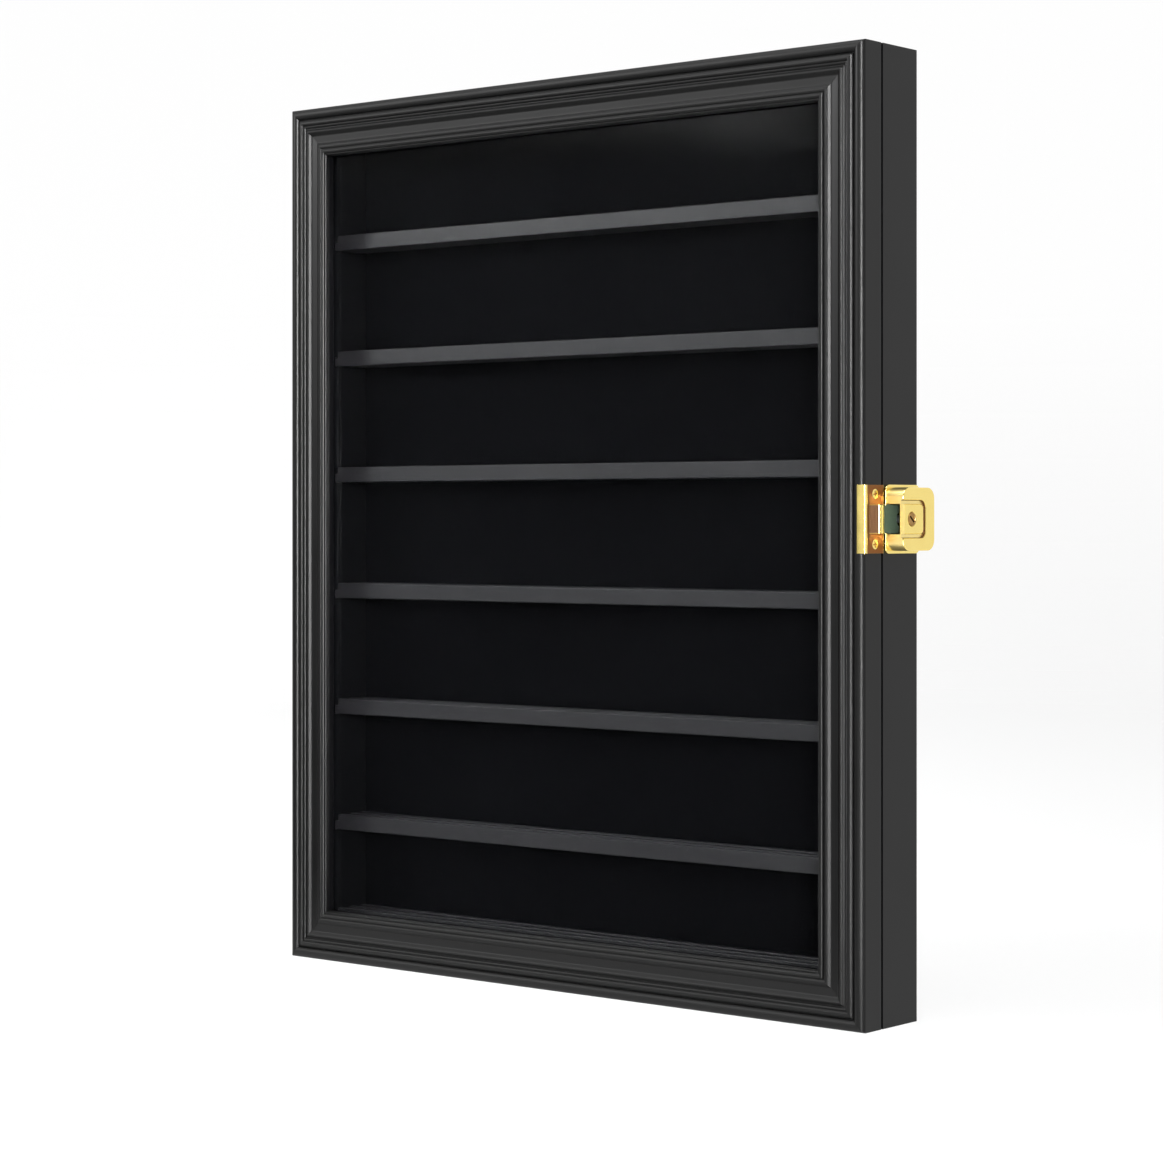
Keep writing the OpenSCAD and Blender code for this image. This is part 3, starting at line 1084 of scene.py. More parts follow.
def member(
    name: str, section: Outline, length: float, finish: Finish, mitred: bool, hairline: float = 0.0
) -> Piece:
    """Draws a member out of its section, upright at the origin.

    Args:
        name: The piece's name.
        section: Its section: X is the distance from the outer edge, Y the depth.
        length: Its length.
        finish: Its finish.
        mitred: Whether the ends are cut at 45 degrees or square.
        hairline: How far each end stays clear of its neighbour.

    Returns:
        The member.
    """
    mesh = bpy.data.meshes.new(name)
    mesh.from_pydata([(x, y, 0) for x, y in section], [], [tuple(range(len(section)))])
    values: dict[str, Value] = {
        "Length": length,
        "Mitre": 1.0 if mitred else 0.0,
        "Hairline": hairline,
        "Finish": finish.material(),
    }
    return grown(drafted(name, mesh), member_tree(), values)


def grain_of(side: Side) -> Finish:
    """The lacquer whose faint grain runs along a member on that side."""
    return LACQUER_UP if side.upright else LACQUER_ACROSS


# The door


@dataclass
class Door:
    """The moulded and mitred door with its pane and the beads that hold it."""

    case: CaseFrame
    thickness: float = 15.0
    frame_width: float = 25.6
    inner_lip: float = 0.3
    inner_drop: float = 3.2
    pane_seat: float = 6.0
    pane_step: float = 6.5
    back_arris: float = 0.5
    pane_arris: float = 0.3
    leaf_seat: float = 1.0
    leaf_clear: float = 0.06
    bead_radius: float = 4.0
    bead_steps: int = 14
    hairline: float = 0.05
    fineness: int = 4
    near: float = 0.3

    @property
    def step_x(self) -> float:
        """Where the step for the pane starts, from the outer edge."""
        return self.frame_width - self.pane_step

    def moulding(self) -> Outline:
        """Draws the section of the door frame, with the run moulding on its front.

        A swell or a slope is given by where it starts and ends across the frame, its depth at
        both, the rise of its middle where it swells, and its steps.

        Returns:
            The outline.
        """
        n = self.fineness
        width, last = self.frame_width, self.frame_width - self.inner_lip
        corner_and_small_beads = [
            *swell(0, 5.4, 2.6, 2.1, 2.34, 10 * n),
            *swell(5.6, 8.8, 2.1, 1.1, 1.52, 7 * n),
            *swell(9, 10.4, 1.15, 1.7, 0.63, 5 * n),
        ]
        ridge_and_hollow = [
            *slope(10.6, 12.2, 1.7, 0.44, 3 * n),
            *slope(12.2, 14.8, 0.44, 1.9, 4 * n),
            *slope(14.8, 18, 1.9, 2, 3 * n),
            *slope(18, 19.9, 2, 0.9, 3 * n),
        ]
        reeds = [
            *swell(19.9, 21.7, 0.9, 1.3, 0.39, 4 * n),
            *swell(21.9, 24.2, 1.3, 1.5, 1.2, 5 * n),
            *swell(24.4, last, 1.5, 2.6, 0.68, 3 * n),
        ]
        step = [(width, self.inner_drop), (width, self.pane_seat), (self.step_x, self.pane_seat)]
        back = [(self.step_x, self.thickness, self.back_arris), (0.0, self.thickness, self.back_arris)]
        return rounded(sharp(corner_and_small_beads + ridge_and_hollow + reeds + step) + back)

    def build(self) -> None:
        """Makes the frame, the pane and the beads."""
        for side in Side:
            self.make_member(side)
            self.make_bead(side)
        self.make_pane()

    def make_member(self, side: Side) -> None:
        """Makes a stile or a rail.

        Args:
            side: The side of the door that it forms.
        """
        kind = "stile" if side.upright else "rail"
        length = self.case.length(side)
        name = f"moulded_{kind}_{side.value}"
        piece = member(name, self.moulding(), length, grain_of(side), True, self.hairline)
        turned_to(piece, self.case.along(side, length, 0, 0))
        if side is Side.LEFT:
            combined(piece, "DIFFERENCE", *self.hinge_seats())
        smoothed(piece, 50)
        # The back of the frame and the reveal get a dead flat paint: painted shade.
        lined(dress(piece, grain_of(side)), FLAT_SHADE_PAINT, *self.painted_shade_zones())
        turned_to(piece, self.case.place())
        seat(piece, "door", "satin_black_moulding", f"door_{kind}_{side.value}")

    def painted_shade_zones(self) -> Iterable[Zone]:
        """Lists the zones that get the flat paint of painted shade.

        Yields:
            The back of the frame and the reveal round the pane.
        """
        edge, reveal_depth = self.step_x - 0.1, 3.0
        yield Zone(y=(self.thickness - self.near, INF))
        yield Zone(
            x=(edge, self.case.width - edge),
            y=(self.pane_seat - reveal_depth, INF),
            z=(edge, self.case.height - edge),
        )

    def hinge_seats(self) -> Iterable[Piece]:
        """Makes cutters for the shallow seats of the door leaves in the left stile's back.

        Yields:
            The cutters.
        """
        clear, over = self.leaf_clear, 2.0
        for which in ("upper", "lower"):
            low, high = self.case.span(f"hinge_{which}_door_leaf")
            yield block(
                f"{which}_seat",
                (-over, self.thickness - self.leaf_seat - clear, low.z - clear),
                (high.x + clear, self.thickness + over / 2, high.z + clear),
            )

    def make_bead(self, side: Side) -> None:
        """Makes one of the quarter-round beads behind the pane.

        Args:
            side: The side of the door that it runs along.
        """
        inset = self.step_x
        length = self.case.length(side) - 2 * inset
        low, _ = self.case.span("pane_bead_left")
        section = [(0.0, 0.0), *arc((0.0, 0.0), self.bead_radius, 0, 90, self.bead_steps)]
        name = f"glazing_bead_{side.value}"
        piece = member(name, section, length, grain_of(side), True, self.hairline)
        turned_to(piece, self.case.along(side, length, inset, low.y))
        smoothed(piece)
        dress(turned_to(piece, self.case.place()), grain_of(side))
        seat(piece, "door", "satin_black_wood", f"pane_bead_{side.value}")

    def make_pane(self) -> None:
        """Makes the clear pane with its polished arrises."""
        low, high = self.case.span("door_pane")
        pane = smoothed(eased(block("acrylic_pane", low, high), self.pane_arris))
        dress(turned_to(pane, self.case.place()), ACRYLIC)
        seat(pane, "door", "clear_acrylic", "door_pane")


# The case


@dataclass
class Carcase:
    """The box behind the door: two grooved sides, top, bottom, back panel and felt."""

    case: CaseFrame
    thickness: float = 17.0
    rebate: float = 5.0
    panel: float = 3.0
    panel_arris: float = 0.3
    shelf_slot: float = 3.5
    slot_height: float = 4.8
    shelf_clear: float = 0.1
    pocket_half: float = 4.5
    pocket_depth: float = 8.0
    hanger_drop: float = 10.0
    leaf_seat: float = 1.0
    clear: float = 0.06
    over: float = 2.0
    hairline: float = 0.04
    arris: float = 0.8
    near: float = 0.3
    felt_cells: tuple[int, int] = (54, 68)
    felt_rim: float = 0.45
    felt_dip: float = 0.05
    felt_uneven: float = 0.09

    def section(self) -> Outline:
        """Draws the section of a case member, with the step for the back panel.

        Returns:
            The outline, its long edges eased.
        """
        front = self.case.seam()
        step_y = self.case.depth - self.panel
        inner = self.thickness - self.rebate
        return rounded(
            [
                (0.0, front, self.arris / 2),
                (self.thickness, front, self.arris / 2),
                (self.thickness, step_y, 0.0),
                (inner, step_y, 0.0),
                (inner, self.case.depth, 0.3),
                (0.0, self.case.depth, self.arris),
            ]
        )

    def build(self) -> None:
        """Makes the four members, the back panel and the felt."""
        for side in Side:
            self.make_member(side)
        self.make_panel()
        self.make_felt()

    def make_member(self, side: Side) -> None:
        """Makes a side of the case, with its cuts, or its top or bottom.

        Args:
            side: The side of the case that it forms.
        """
        node = f"case_side_{side.value}" if side.upright else f"case_{side.value}"
        name, length = f"{side.value}_board", self.case.length(side)
        piece = member(name, self.section(), length, grain_of(side), True, self.hairline)
        turned_to(piece, self.case.along(side, length, 0, 0))
        if side.upright:
            combined(piece, "DIFFERENCE", *self.cuts(side))
        dress(smoothed(piece), grain_of(side))
        # The inside and the front edge in the seam get a dead flat paint: painted shade.
        lined(piece, FLAT_SHADE_PAINT, *self.painted_shade_zones())
        turned_to(piece, self.case.place())
        seat(piece, "case", "satin_black_wood", node)

    def painted_shade_zones(self) -> Iterable[Zone]:
        """Lists the zones that get the flat paint of painted shade.

        Yields:
            The inside of the case and the edge that the door closes on.
        """
        edge = self.thickness - self.near
        yield Zone(x=(edge, self.case.width - edge), z=(edge, self.case.height - edge))
        yield Zone(y=(-INF, self.case.seam() + self.near))

    def cuts(self, side: Side) -> Iterable[Piece]:
        """Makes cutters for the shelf slots, the hanger's seat and pocket, and hinge seats.

        Args:
            side: The left or right side of the case.

        Yields:
            The cutters.
        """
        for name, low, high in self.cut_boxes(side):
            if side is Side.RIGHT:
                mirrored = self.case.width - high[0], self.case.width - low[0]
                low, high = (mirrored[0], *low[1:]), (mirrored[1], *high[1:])
            yield block(name, low, high)

    def cut_boxes(self, side: Side) -> Iterable[tuple[str, Point3, Point3]]:
        """Lists the cuts of a side as if it were the left one.

        Args:
            side: The left or right side of the case.

        Yields:
            The name and the lowest and highest corner of each cut.
        """
        clear, over, front = self.clear, self.over, self.case.seam()
        felt = self.case.span("felt_lining")[0].y
        for number in range(1, 8):
            low, _ = self.case.span(f"shelf_{number}")
            foot = low.z - self.shelf_clear
            start = (self.thickness - self.shelf_slot, front - over, foot)
            yield f"slot_{number}", start, (self.thickness + over, felt, foot + self.slot_height)
        low, high = self.case.span("hanger_left")
        start = (low.x - clear, low.y - clear, low.z - clear)
        yield "hanger_seat", start, (high.x + clear, high.y + over, high.z + clear)
        half, drop = self.pocket_half, self.hanger_drop
        middle, entry = (low.x + high.x) / 2, (low.z + high.z - drop) / 2
        start = (middle - half, low.y - self.pocket_depth, entry - half)
        yield "hanger_pocket", start, (middle + half, low.y + over / 2, entry + drop + half)
        if side is Side.LEFT:
            for which in ("upper", "lower"):
                low, high = self.case.span(f"hinge_{which}_case_leaf")
                stop = (high.x + clear, front + self.leaf_seat + clear, high.z + clear)
                yield f"{which}_case_seat", (-over, front - over, low.z - clear), stop

    def make_panel(self) -> None:
        """Makes the hardboard back panel with its sawn edges eased."""
        low, high = self.case.span("back_panel")
        panel = smoothed(eased(block("hardboard_back", low, high), self.panel_arris))
        dress(turned_to(panel, self.case.place()), HARDBOARD)
        seat(panel, "case", "black_hardboard", "back_panel")

    def make_felt(self) -> None:
        """Makes the sheet of felt, laid on the panel, whose face is not quite even."""
        low, high = self.case.span("felt_lining")
        columns, rows = self.felt_cells
        chance = random.Random(11)
        work = bmesh.new()
        face: list[list[bmesh.types.BMVert]] = []
        for j in range(rows + 1):
            z = low.z + (high.z - low.z) * j / rows
            line = []
            for i in range(columns + 1):
                x = low.x + (high.x - low.x) * i / columns
                rim = i in (0, columns) or j in (0, rows)
                dip = self.felt_rim if rim else self.felt_dip + self.felt_uneven * chance.random()
                line.append(work.verts.new((x, low.y + dip, z)))
            face.append(line)
        for lower, upper in zip(face, face[1:]):
            for i in range(columns):
                work.faces.new((lower[i], lower[i + 1], upper[i + 1], upper[i]))
        rim_edges = [edge for edge in work.edges if edge.is_boundary]
        made = bmesh.ops.extrude_edge_only(work, edges=rim_edges)["geom"]
        for vert in (v for v in made if isinstance(v, bmesh.types.BMVert)):
            vert.co.y = high.y
        bmesh.ops.contextual_create(work, geom=[e for e in work.edges if e.is_boundary])
        bmesh.ops.recalc_face_normals(work, faces=work.faces)
        felt = smoothed(poured("felt_sheet", work), 60)
        dress(turned_to(felt, self.case.place()), FELT)
        seat(felt, "case", "black_felt", "felt_lining")


@dataclass
class Shelves:
    """The grooved shelves that slide in on their tongues."""

    case: CaseFrame
    count: int = 7
    grooves: int = 2
    groove_width: float = 4.6
    groove_depth: float = 3.4
    groove_round: float = 0.5
    lip: float = 3.2
    pitch: float = 8.7
    tongue: float = 4.3
    tongue_length: float = 3.1
    arris: float = 0.45
    over: float = 1.0

    def section(self, depth: float, thickness: float) -> Outline:
        """Draws the section of a shelf: X is the height and Y the depth from its front edge.

        Args:
            depth: Depth of the shelf.
            thickness: Full thickness of the shelf.

        Returns:
            The outline with its grooves, all edges eased.
        """
        floor = thickness - self.groove_depth
        corners = [(0.0, 0.0, self.arris), (thickness, 0.0, self.arris)]
        for k in range(self.grooves):
            start = self.lip + k * self.pitch
            stop = start + self.groove_width
            corners += [
                (thickness, start, self.arris),
                (floor, start, self.groove_round),
                (floor, stop, self.groove_round),
                (thickness, stop, self.arris),
            ]
        corners += [(thickness, depth, self.arris), (0.0, depth, self.arris)]
        return rounded(corners, 4)

    def build(self) -> None:
        """Makes every shelf at the place of its node."""
        for number in range(1, self.count + 1):
            self.make_shelf(number)

    def make_shelf(self, number: int) -> None:
        """Makes one shelf.

        Args:
            number: Its number, counted from the top.
        """
        low, high = self.case.span(f"shelf_{number}")
        section = self.section(high.y - low.y, high.z - low.z)
        name, length, over = f"grooved_shelf_{number}", high.x - low.x, self.over
        piece = member(name, section, length, SHELF_LACQUER, False)
        shift = Matrix.Translation((low.x + length, low.y, low.z))
        turned_to(piece, shift @ Matrix.Rotation(-math.pi / 2, 4, "Y"))
        ends = ((low.x - over, low.x + self.tongue_length), (high.x - self.tongue_length, high.x + over))
        shoulders = [
            block("shoulder", (x0, low.y - over, low.z + self.tongue), (x1, high.y + over, high.z + over))
            for x0, x1 in ends
        ]
        combined(piece, "DIFFERENCE", *shoulders)
        smoothed(piece)
        dress(turned_to(piece, self.case.place()), SHELF_LACQUER)
        seat(piece, f"shelf_{number}", "satin_black_shelf", f"shelf_{number}")


# Hardware


def refined(name: str, node: Piece, width: float = 0.2, shortest: float = 1.5) -> Piece:
    """Copies a node of the frame with a clean mesh and eased edges.

    Args:
        name: The new piece's name.
        node: The node.
        width: Width of the rounding, in millimetres.
        shortest: Edges below this length, in millimetres, stay sharp, as round a screw hole.

    Returns:
        The new piece, in metres.
    """
    flat, crease = math.radians(1), math.radians(50)
    work = bmesh.new()
    work.from_mesh(node.data)
    bmesh.ops.remove_doubles(work, verts=work.verts, dist=0.001 * MM)
    bmesh.ops.dissolve_limit(work, angle_limit=flat, verts=work.verts, edges=work.edges)
    edges = [
        edge
        for edge in work.edges
        if edge.is_manifold
        and edge.calc_face_angle() > crease
        and edge.calc_length() > shortest * MM
    ]
    bmesh.ops.bevel(
        work, geom=edges, offset=width * MM, segments=2, profile=0.5, affect="EDGES", clamp_overlap=True,
    )
    return smoothed(poured(name, work))


def turned(
    name: str,
    profile: Outline,
    sides: int = 48,
    ridge: Callable[[float, float], float] = lambda z, angle: 0.0,
) -> Piece:
    """Turns a profile round the Z axis into a closed piece.

    Args:
        name: The piece's name.
        profile: Radius and height of each ring; the first and the last have a radius of 0.
        sides: Number of faces round the axis.
        ridge: What is added to the radius at a height and an angle, such as a thread.

    Returns:
        The piece, in millimetres.
    """
    work = bmesh.new()
    rings = []
    for radius, z in profile[1:-1]:
        ring = []
        for i in range(sides):
            a = math.tau * i / sides
            r = radius + ridge(z, a)
            ring.append(work.verts.new((r * math.cos(a), r * math.sin(a), z)))
        rings.append(ring)
    skinned(work, rings)
    for (_, z), ring in ((profile[0], rings[0]), (profile[-1], rings[-1])):
        pole = work.verts.new((0, 0, z))
        for i in range(sides):
            work.faces.new((pole, ring[i], ring[(i + 1) % sides]))
    bmesh.ops.recalc_face_normals(work, faces=work.faces)
    return poured(name, work)


@dataclass(frozen=True)
class Screw:
    """A countersunk cross-head wood screw along +Z, with its head flush at Z = 0.

    Its sizes are those of the screw, and its loose turn is how far it may be turned at random.
    """

    head: float
    shank: float
    sink: float
    length: float
    pitch: float = 1.1
    thread: float = 0.28
    edge: Point2 = (0.25, 0.14)
    neck: float = 0.6
    point: float = 1.6
    tip: float = 0.15
    rings_a_turn: int = 5
    sides: int = 20
    loose: float = math.tau

    @property
    def threaded(self) -> Point2:
        """Where the thread starts and stops."""
        return self.sink + self.neck, self.length - self.point

    def ridge(self, z: float, angle: float) -> float:
        """Height of the thread over its core.

        Args:
            z: The height along the screw.
            angle: The angle round it.

        Returns:
            How far the thread stands out there.
        """
        start, stop = self.threaded
        if not start < z < stop:
            return 0.0
        phase = (z / self.pitch - angle / math.tau) % 1
        return self.thread * max(0.0, 1 - abs(phase - 0.5) * 4)

    def recess(self) -> Piece:
        """Makes the cutter for the cross recess, which narrows towards its floor.

        Returns:
            The cutter.
        """
        arm, half, depth = self.head * 0.62, self.head * 0.13, self.sink * 0.75
        quarter = [(arm, half), (half, half), (half, arm)]
        cross = list(quarter)
        for _ in range(3):
            quarter = [(-y, x) for x, y in quarter]
            cross += quarter
        rings = [
            [Vector((x * share, y * share, z)) for x, y in cross]
            for share, z in ((1.1, -0.1), (1.0, 0.0), (0.45, depth))
        ]
        return lofted("cross", rings)

    def master(self) -> Piece:
        """Makes the screw with its thread, point and cross recess.

        Returns:
            The screw.
        """
        start, stop = self.threaded
        steps = max(2, round((stop - start) / self.pitch * self.rings_a_turn))
        core = self.shank - self.thread
        profile = [
            (0.0, 0.0),
            (self.head - self.edge[0], 0.0),
            (self.head, self.edge[1]),
            (self.shank, self.sink),
            *((core, start + (stop - start) * i / steps) for i in range(steps + 1)),
            (self.tip, self.length),
            (0.0, self.length),
        ]
        screw = turned("screw", profile, self.sides, self.ridge)
        return smoothed(combined(screw, "DIFFERENCE", self.recess()), 30)


@dataclass(frozen=True)
class CornerNail:
    """A V-shaped nail that holds a mitre, drawn along +Z and opening along +X."""

    leg: float = 4.5
    thickness: float = 0.5
    depth: float = 7.0
    spread: float = 30.0
    bevel: float = 1.0
    edge: float = 0.3
    loose: float = 0.0

    def ring(self, z: float, thickness: float) -> list[Vector]:
        """Draws the outline of the bent strip at one depth.

        Args:
            z: The depth.
            thickness: The strip's thickness there.

        Returns:
            The outline.
        """
        spread = math.radians(self.spread)
        along = Vector((math.cos(spread), math.sin(spread)))
        out = Vector((-math.sin(spread), math.cos(spread))) * thickness / 2
        upper = [along * self.leg + out, along * self.leg - out]
        notch = Vector((thickness / 2 / math.sin(spread), 0))
        lower = [Vector((p.x, -p.y)) for p in reversed(upper)]
        outline = [out, *upper, notch, *lower, Vector((out.x, -out.y))]
        return [Vector((p.x, p.y, z)) for p in outline]

    def master(self) -> Piece:
        """Makes the bent strip, sharpened at its foot.

        Returns:
            The nail.
        """
        rings = [
            self.ring(0.0, self.thickness),
            self.ring(self.depth - self.bevel, self.thickness),
            self.ring(self.depth, self.thickness * self.edge),
        ]
        return smoothed(lofted("nail", rings), 30)


@dataclass(frozen=True)
class Pin:
    """A small round pin along +Z with a low head at Z = 0."""

    length: float = 7.0
    radius: float = 0.5
    head: float = 0.9
    crown: float = 0.12
    head_foot: float = 0.3
    neck: float = 0.45
    point: float = 0.9
    tip: float = 0.08
    sides: int = 14
    loose: float = math.tau

    def master(self) -> Piece:
        """Makes the pin.

        Returns:
            The pin.
        """
        profile = [
            (0.0, -self.crown),
            (self.head * 0.6, 0.02 - self.crown),
            (self.head, 0.05),
            (self.head, self.head_foot),
            (self.radius, self.neck),
            (self.radius, self.length - self.point),
            (self.tip, self.length),
            (0.0, self.length),
        ]
        return smoothed(turned("pin", profile, self.sides), 30)


@dataclass(frozen=True)
class Spot:
    """Where a fastener goes, in millimetres from the drawing corner."""

    at: Vector
    into: Vector
    opening: Optional[Vector] = None

    def turn(self) -> Vector:
        """Works out how the fastener is turned.

        Returns:
            The Euler turn from +Z to the way it points, opening towards its own side.
        """
        if self.opening is None:
            return Vector(self.into.to_track_quat("Z", "Y").to_euler())
        third = self.into.cross(self.opening)
        matrix = Matrix((self.opening, third, self.into)).transposed()
        return Vector(matrix.to_euler())


@functools.cache
def fastening_tree() -> Tree:
    """Builds the Geometry Nodes tree that drives one fastener into each point.

    Each point carries the turn of its fastener. A random turn about the fastener's own axis keeps
    the slots of screws from lining up.

    Returns:
        The tree.
    """
    tree = bpy.data.node_groups.new("fasteners_on_points", "GeometryNodeTree")
    sockets = tree.interface
    sockets.new_socket("Points", in_out="INPUT", socket_type="NodeSocketGeometry")
    sockets.new_socket("Fastener", in_out="INPUT", socket_type="NodeSocketObject")
    sockets.new_socket("Loose Turn", in_out="INPUT", socket_type="NodeSocketFloat")
    sockets.new_socket("Seed", in_out="INPUT", socket_type="NodeSocketInt")
    sockets.new_socket("Finish", in_out="INPUT", socket_type="NodeSocketMaterial")
    sockets.new_socket("Fasteners", in_out="OUTPUT", socket_type="NodeSocketGeometry")
    given = add(tree, "NodeGroupInput").outputs
    master = add(
        tree, "GeometryNodeObjectInfo", {"Object": given["Fastener"], "As Instance": True}
    ).outputs["Geometry"]
    stored = add(
        tree, "GeometryNodeInputNamedAttribute", {"Name": "turn"}, data_type="FLOAT_VECTOR"
    ).outputs["Attribute"]
    aimed = add(tree, "FunctionNodeEulerToRotation", {0: stored}).outputs[0]
    chance = add(
        tree,
        "FunctionNodeRandomValue",
        {2: 0.0, 3: given["Loose Turn"], "Seed": given["Seed"]},
        data_type="FLOAT",
    ).outputs[1]
    spin = add(tree, "FunctionNodeAxisAngleToRotation", {"Axis": (0, 0, 1), "Angle": chance}).outputs[0]
    driven = add(tree, "FunctionNodeRotateRotation", {0: aimed, 1: spin}, rotation_space="LOCAL").outputs[0]
    placed = add(
        tree,
        "GeometryNodeInstanceOnPoints",
        {"Points": given["Points"], "Instance": master, "Rotation": driven},
    ).outputs["Instances"]
    plain = add(tree, "GeometryNodeRealizeInstances", {"Geometry": placed}).outputs["Geometry"]
    finished = add(
        tree, "GeometryNodeSetMaterial", {"Geometry": plain, "Material": given["Finish"]}
    ).outputs["Geometry"]
    add(tree, "NodeGroupOutput", {"Fasteners": finished})
    return tree


@dataclass
class Fixings:
    """Every screw, nail and pin, in groups that each stand for one node."""

    case: CaseFrame
    proud: float = 0.03
    leaf_screw: Screw = Screw(2.2, 1.1, 1.1, 9.0)
    panel_screw: Screw = Screw(2.6, 1.3, 1.4, 13.0)
    leaf_screw_x: float = 6.0
    leaf_screw_pitch: float = 18.0
    hanger_screw_reach: float = 16.0
    panel_screw_zs: tuple[float, ...] = (40, 159, 280, 400)
    panel_screw_inset: float = 70.0
    lock_screw_sink: float = 1.6
    strike_screw_sink: float = 1.3
    case_nail_insets: tuple[float, ...] = (5, 10)
    door_nail_insets: tuple[float, ...] = (6, 13)
    pin_inset: float = 22.2
    pin_shares: tuple[float, ...] = (0.14, 0.5, 0.86)

    def drive(
        self,
        node: str,
        body: str,
        slot: str,
        fastener: Union[Screw, CornerNail, Pin],
        spots: Sequence[Spot],
    ) -> None:
        """Drives one kind of fastener into its places.

        Args:
            node: The node that the group stands for.
            body: The body that it moves with.
            slot: The record's material slot, which gives the finish too.
            fastener: What is driven.
            spots: Where.
        """
        mesh = bpy.data.meshes.new(node)
        mesh.from_pydata([spot.at - spot.into * self.proud for spot in spots], [], [])
        turns = mesh.attributes.new("turn", "FLOAT_VECTOR", "POINT")
        for i, spot in enumerate(spots):
            turns.data[i].vector = spot.turn()
        master, finish = fastener.master(), FINISH_OF_SLOT[slot]
        group = grown(
            drafted(f"driven_{node}", mesh),
            fastening_tree(),
            {
                "Fastener": master,
                "Loose Turn": fastener.loose,
                "Seed": len(spots),
                "Finish": finish.material(),
            },
        )
        discarded(master)
        dress(turned_to(group, self.case.place()), finish)
        seat(group, body, slot, node)

    def build(self) -> None:
        """Drives every group."""
        self.drive_hinge_screws()
        self.drive_back_screws()
        self.drive_lock_screws()
        self.drive_nails_and_pins()

    def drive_hinge_screws(self) -> None:
        """Drives three screws through each hinge leaf, into the case and into the door."""
        door_back = self.case.span("door_stile_left")[1].y
        pitch = self.leaf_screw_pitch
        zs = []
        for which in ("lower", "upper"):
            low, high = self.case.span(f"hinge_{which}_case_leaf")
            zs += [(low.z + high.z) / 2 + dz for dz in (-pitch, 0, pitch)]
        for body, y, way in (("case", self.case.seam(), 1), ("door", door_back, -1)):
            spots = [Spot(Vector((self.leaf_screw_x, y, z)), Vector((0, way, 0))) for z in zs]
            node = f"hinge_{body}_screws"
            self.drive(node, body, "polished_brass", self.leaf_screw, spots)

    def drive_back_screws(self) -> None:
        """Drives the screws of the back panel and of the hangers, all from behind."""
        width, height = self.case.width, self.case.height
        low, _ = self.case.span("back_panel_screws")
        edge_x, edge_z = low.x + self.panel_screw.head, low.z + self.panel_screw.head
        columns = (self.panel_screw_inset, width / 2, width - self.panel_screw_inset)
        panel = [(x, z) for z in self.panel_screw_zs for x in (edge_x, width - edge_x)]
        panel += [(x, z) for x in columns for z in (edge_z, height - edge_z)]
        low, high = self.case.span("hanger_left")
        middle, reach = (low + high) / 2, self.hanger_screw_reach
        hangers = [
            (x, z) for x in (middle.x, width - middle.x) for z in (middle.z - reach, middle.z + reach)
        ]
        for node, screw, places in (
            ("back_panel_screws", self.panel_screw, panel), ("hanger_screws", self.leaf_screw, hangers),
        ):
            back = Vector((0, -1, 0))
            spots = [Spot(Vector((x, self.case.depth, z)), back) for x, z in places]
            self.drive(node, "case", "zinc_steel", screw, spots)

    def drive_lock_screws(self) -> None:
        """Drives the lock's screws from inside the case, and the strike's from outside."""
        for node, body, slot, sink, way in (
            ("lock_screws", "case", "zinc_steel", self.lock_screw_sink, 1),
            ("strike_screws", "door", "polished_brass", self.strike_screw_sink, -1),
        ):
            low, high = self.case.span(node)
            head = (high.y - low.y) / 2
            x, y = (low.x if way > 0 else high.x), (low.y + high.y) / 2
            screw = Screw(head, head / 2, sink, high.x - low.x)
            places = (low.z + head, high.z - head)
            spots = [Spot(Vector((x, y, z)), Vector((way, 0, 0))) for z in places]
            self.drive(node, body, slot, screw, spots)

    def drive_nails_and_pins(self) -> None:
        """Drives the nails across the mitres from behind, and the pins through the beads."""
        door_back = self.case.span("door_stile_left")[1].y
        for body, insets, y in (
            ("case", self.case_nail_insets, self.case.depth), ("door", self.door_nail_insets, door_back),
        ):
            spots = self.nail_spots(insets, y)
            self.drive(f"{body}_corner_nails", body, "zinc_steel", CornerNail(), spots)
        self.drive("pane_bead_pins", "door", "zinc_steel", Pin(), self.pin_spots())

    def nail_spots(self, insets: Sequence[float], y: float) -> list[Spot]:
        """Places of the nails across the mitres of a frame.

        Args:
            insets: How far in along each mitre.
            y: The face that they are pressed in from.

        Returns:
            The places, opening towards the middle of the frame.
        """
        width, height = self.case.width, self.case.height
        spots = []
        for inset in insets:
            for x, way_x in ((inset, 1), (width - inset, -1)):
                for z, way_z in ((inset, 1), (height - inset, -1)):
                    opening = Vector((way_x, 0, way_z)).normalized()
                    spots.append(Spot(Vector((x, y, z)), Vector((0, -1, 0)), opening))
        return spots

    def pin_spots(self) -> list[Spot]:
        """Places of the pins through the glazing beads, three to a side.

        Returns:
            The places.
        """
        low, high = self.case.span("pane_bead_pins")
        y, inset = (low.y + high.y) / 2, self.pin_inset
        width, height = self.case.width, self.case.height
        spots = []
        for share in self.pin_shares:
            x, z = width * share, height * share
            spots += [
                Spot(Vector((inset, y, z)), Vector((-1, 0, 0))),
                Spot(Vector((width - inset, y, z)), Vector((1, 0, 0))),
                Spot(Vector((x, y, inset)), Vector((0, 0, -1))),
                Spot(Vector((x, y, height - inset)), Vector((0, 0, 1))),
            ]
        return spots


@dataclass
class FlatHardware:
    """Hinges and hangers, stamped and bent out of sheet, with their edges eased."""

    nodes: dict[str, Piece]

    def build(self) -> None:
        """Makes the hinge leaves, the pins and the hangers."""
        for which in ("upper", "lower"):
            for leaf, body in (("case_leaf", "case"), ("door_leaf", "door"), ("pin", "case")):
                node = f"hinge_{which}_{leaf}"
                piece = refined(f"eased_{node}", self.nodes[node])
                seat(dress(piece, BRASS), body, "polished_brass", node)
        for side in ("left", "right"):
            node = f"hanger_{side}"
            piece = refined(f"eased_{node}", self.nodes[node])
            seat(dress(piece, ZINC), "case", "zinc_steel", node)


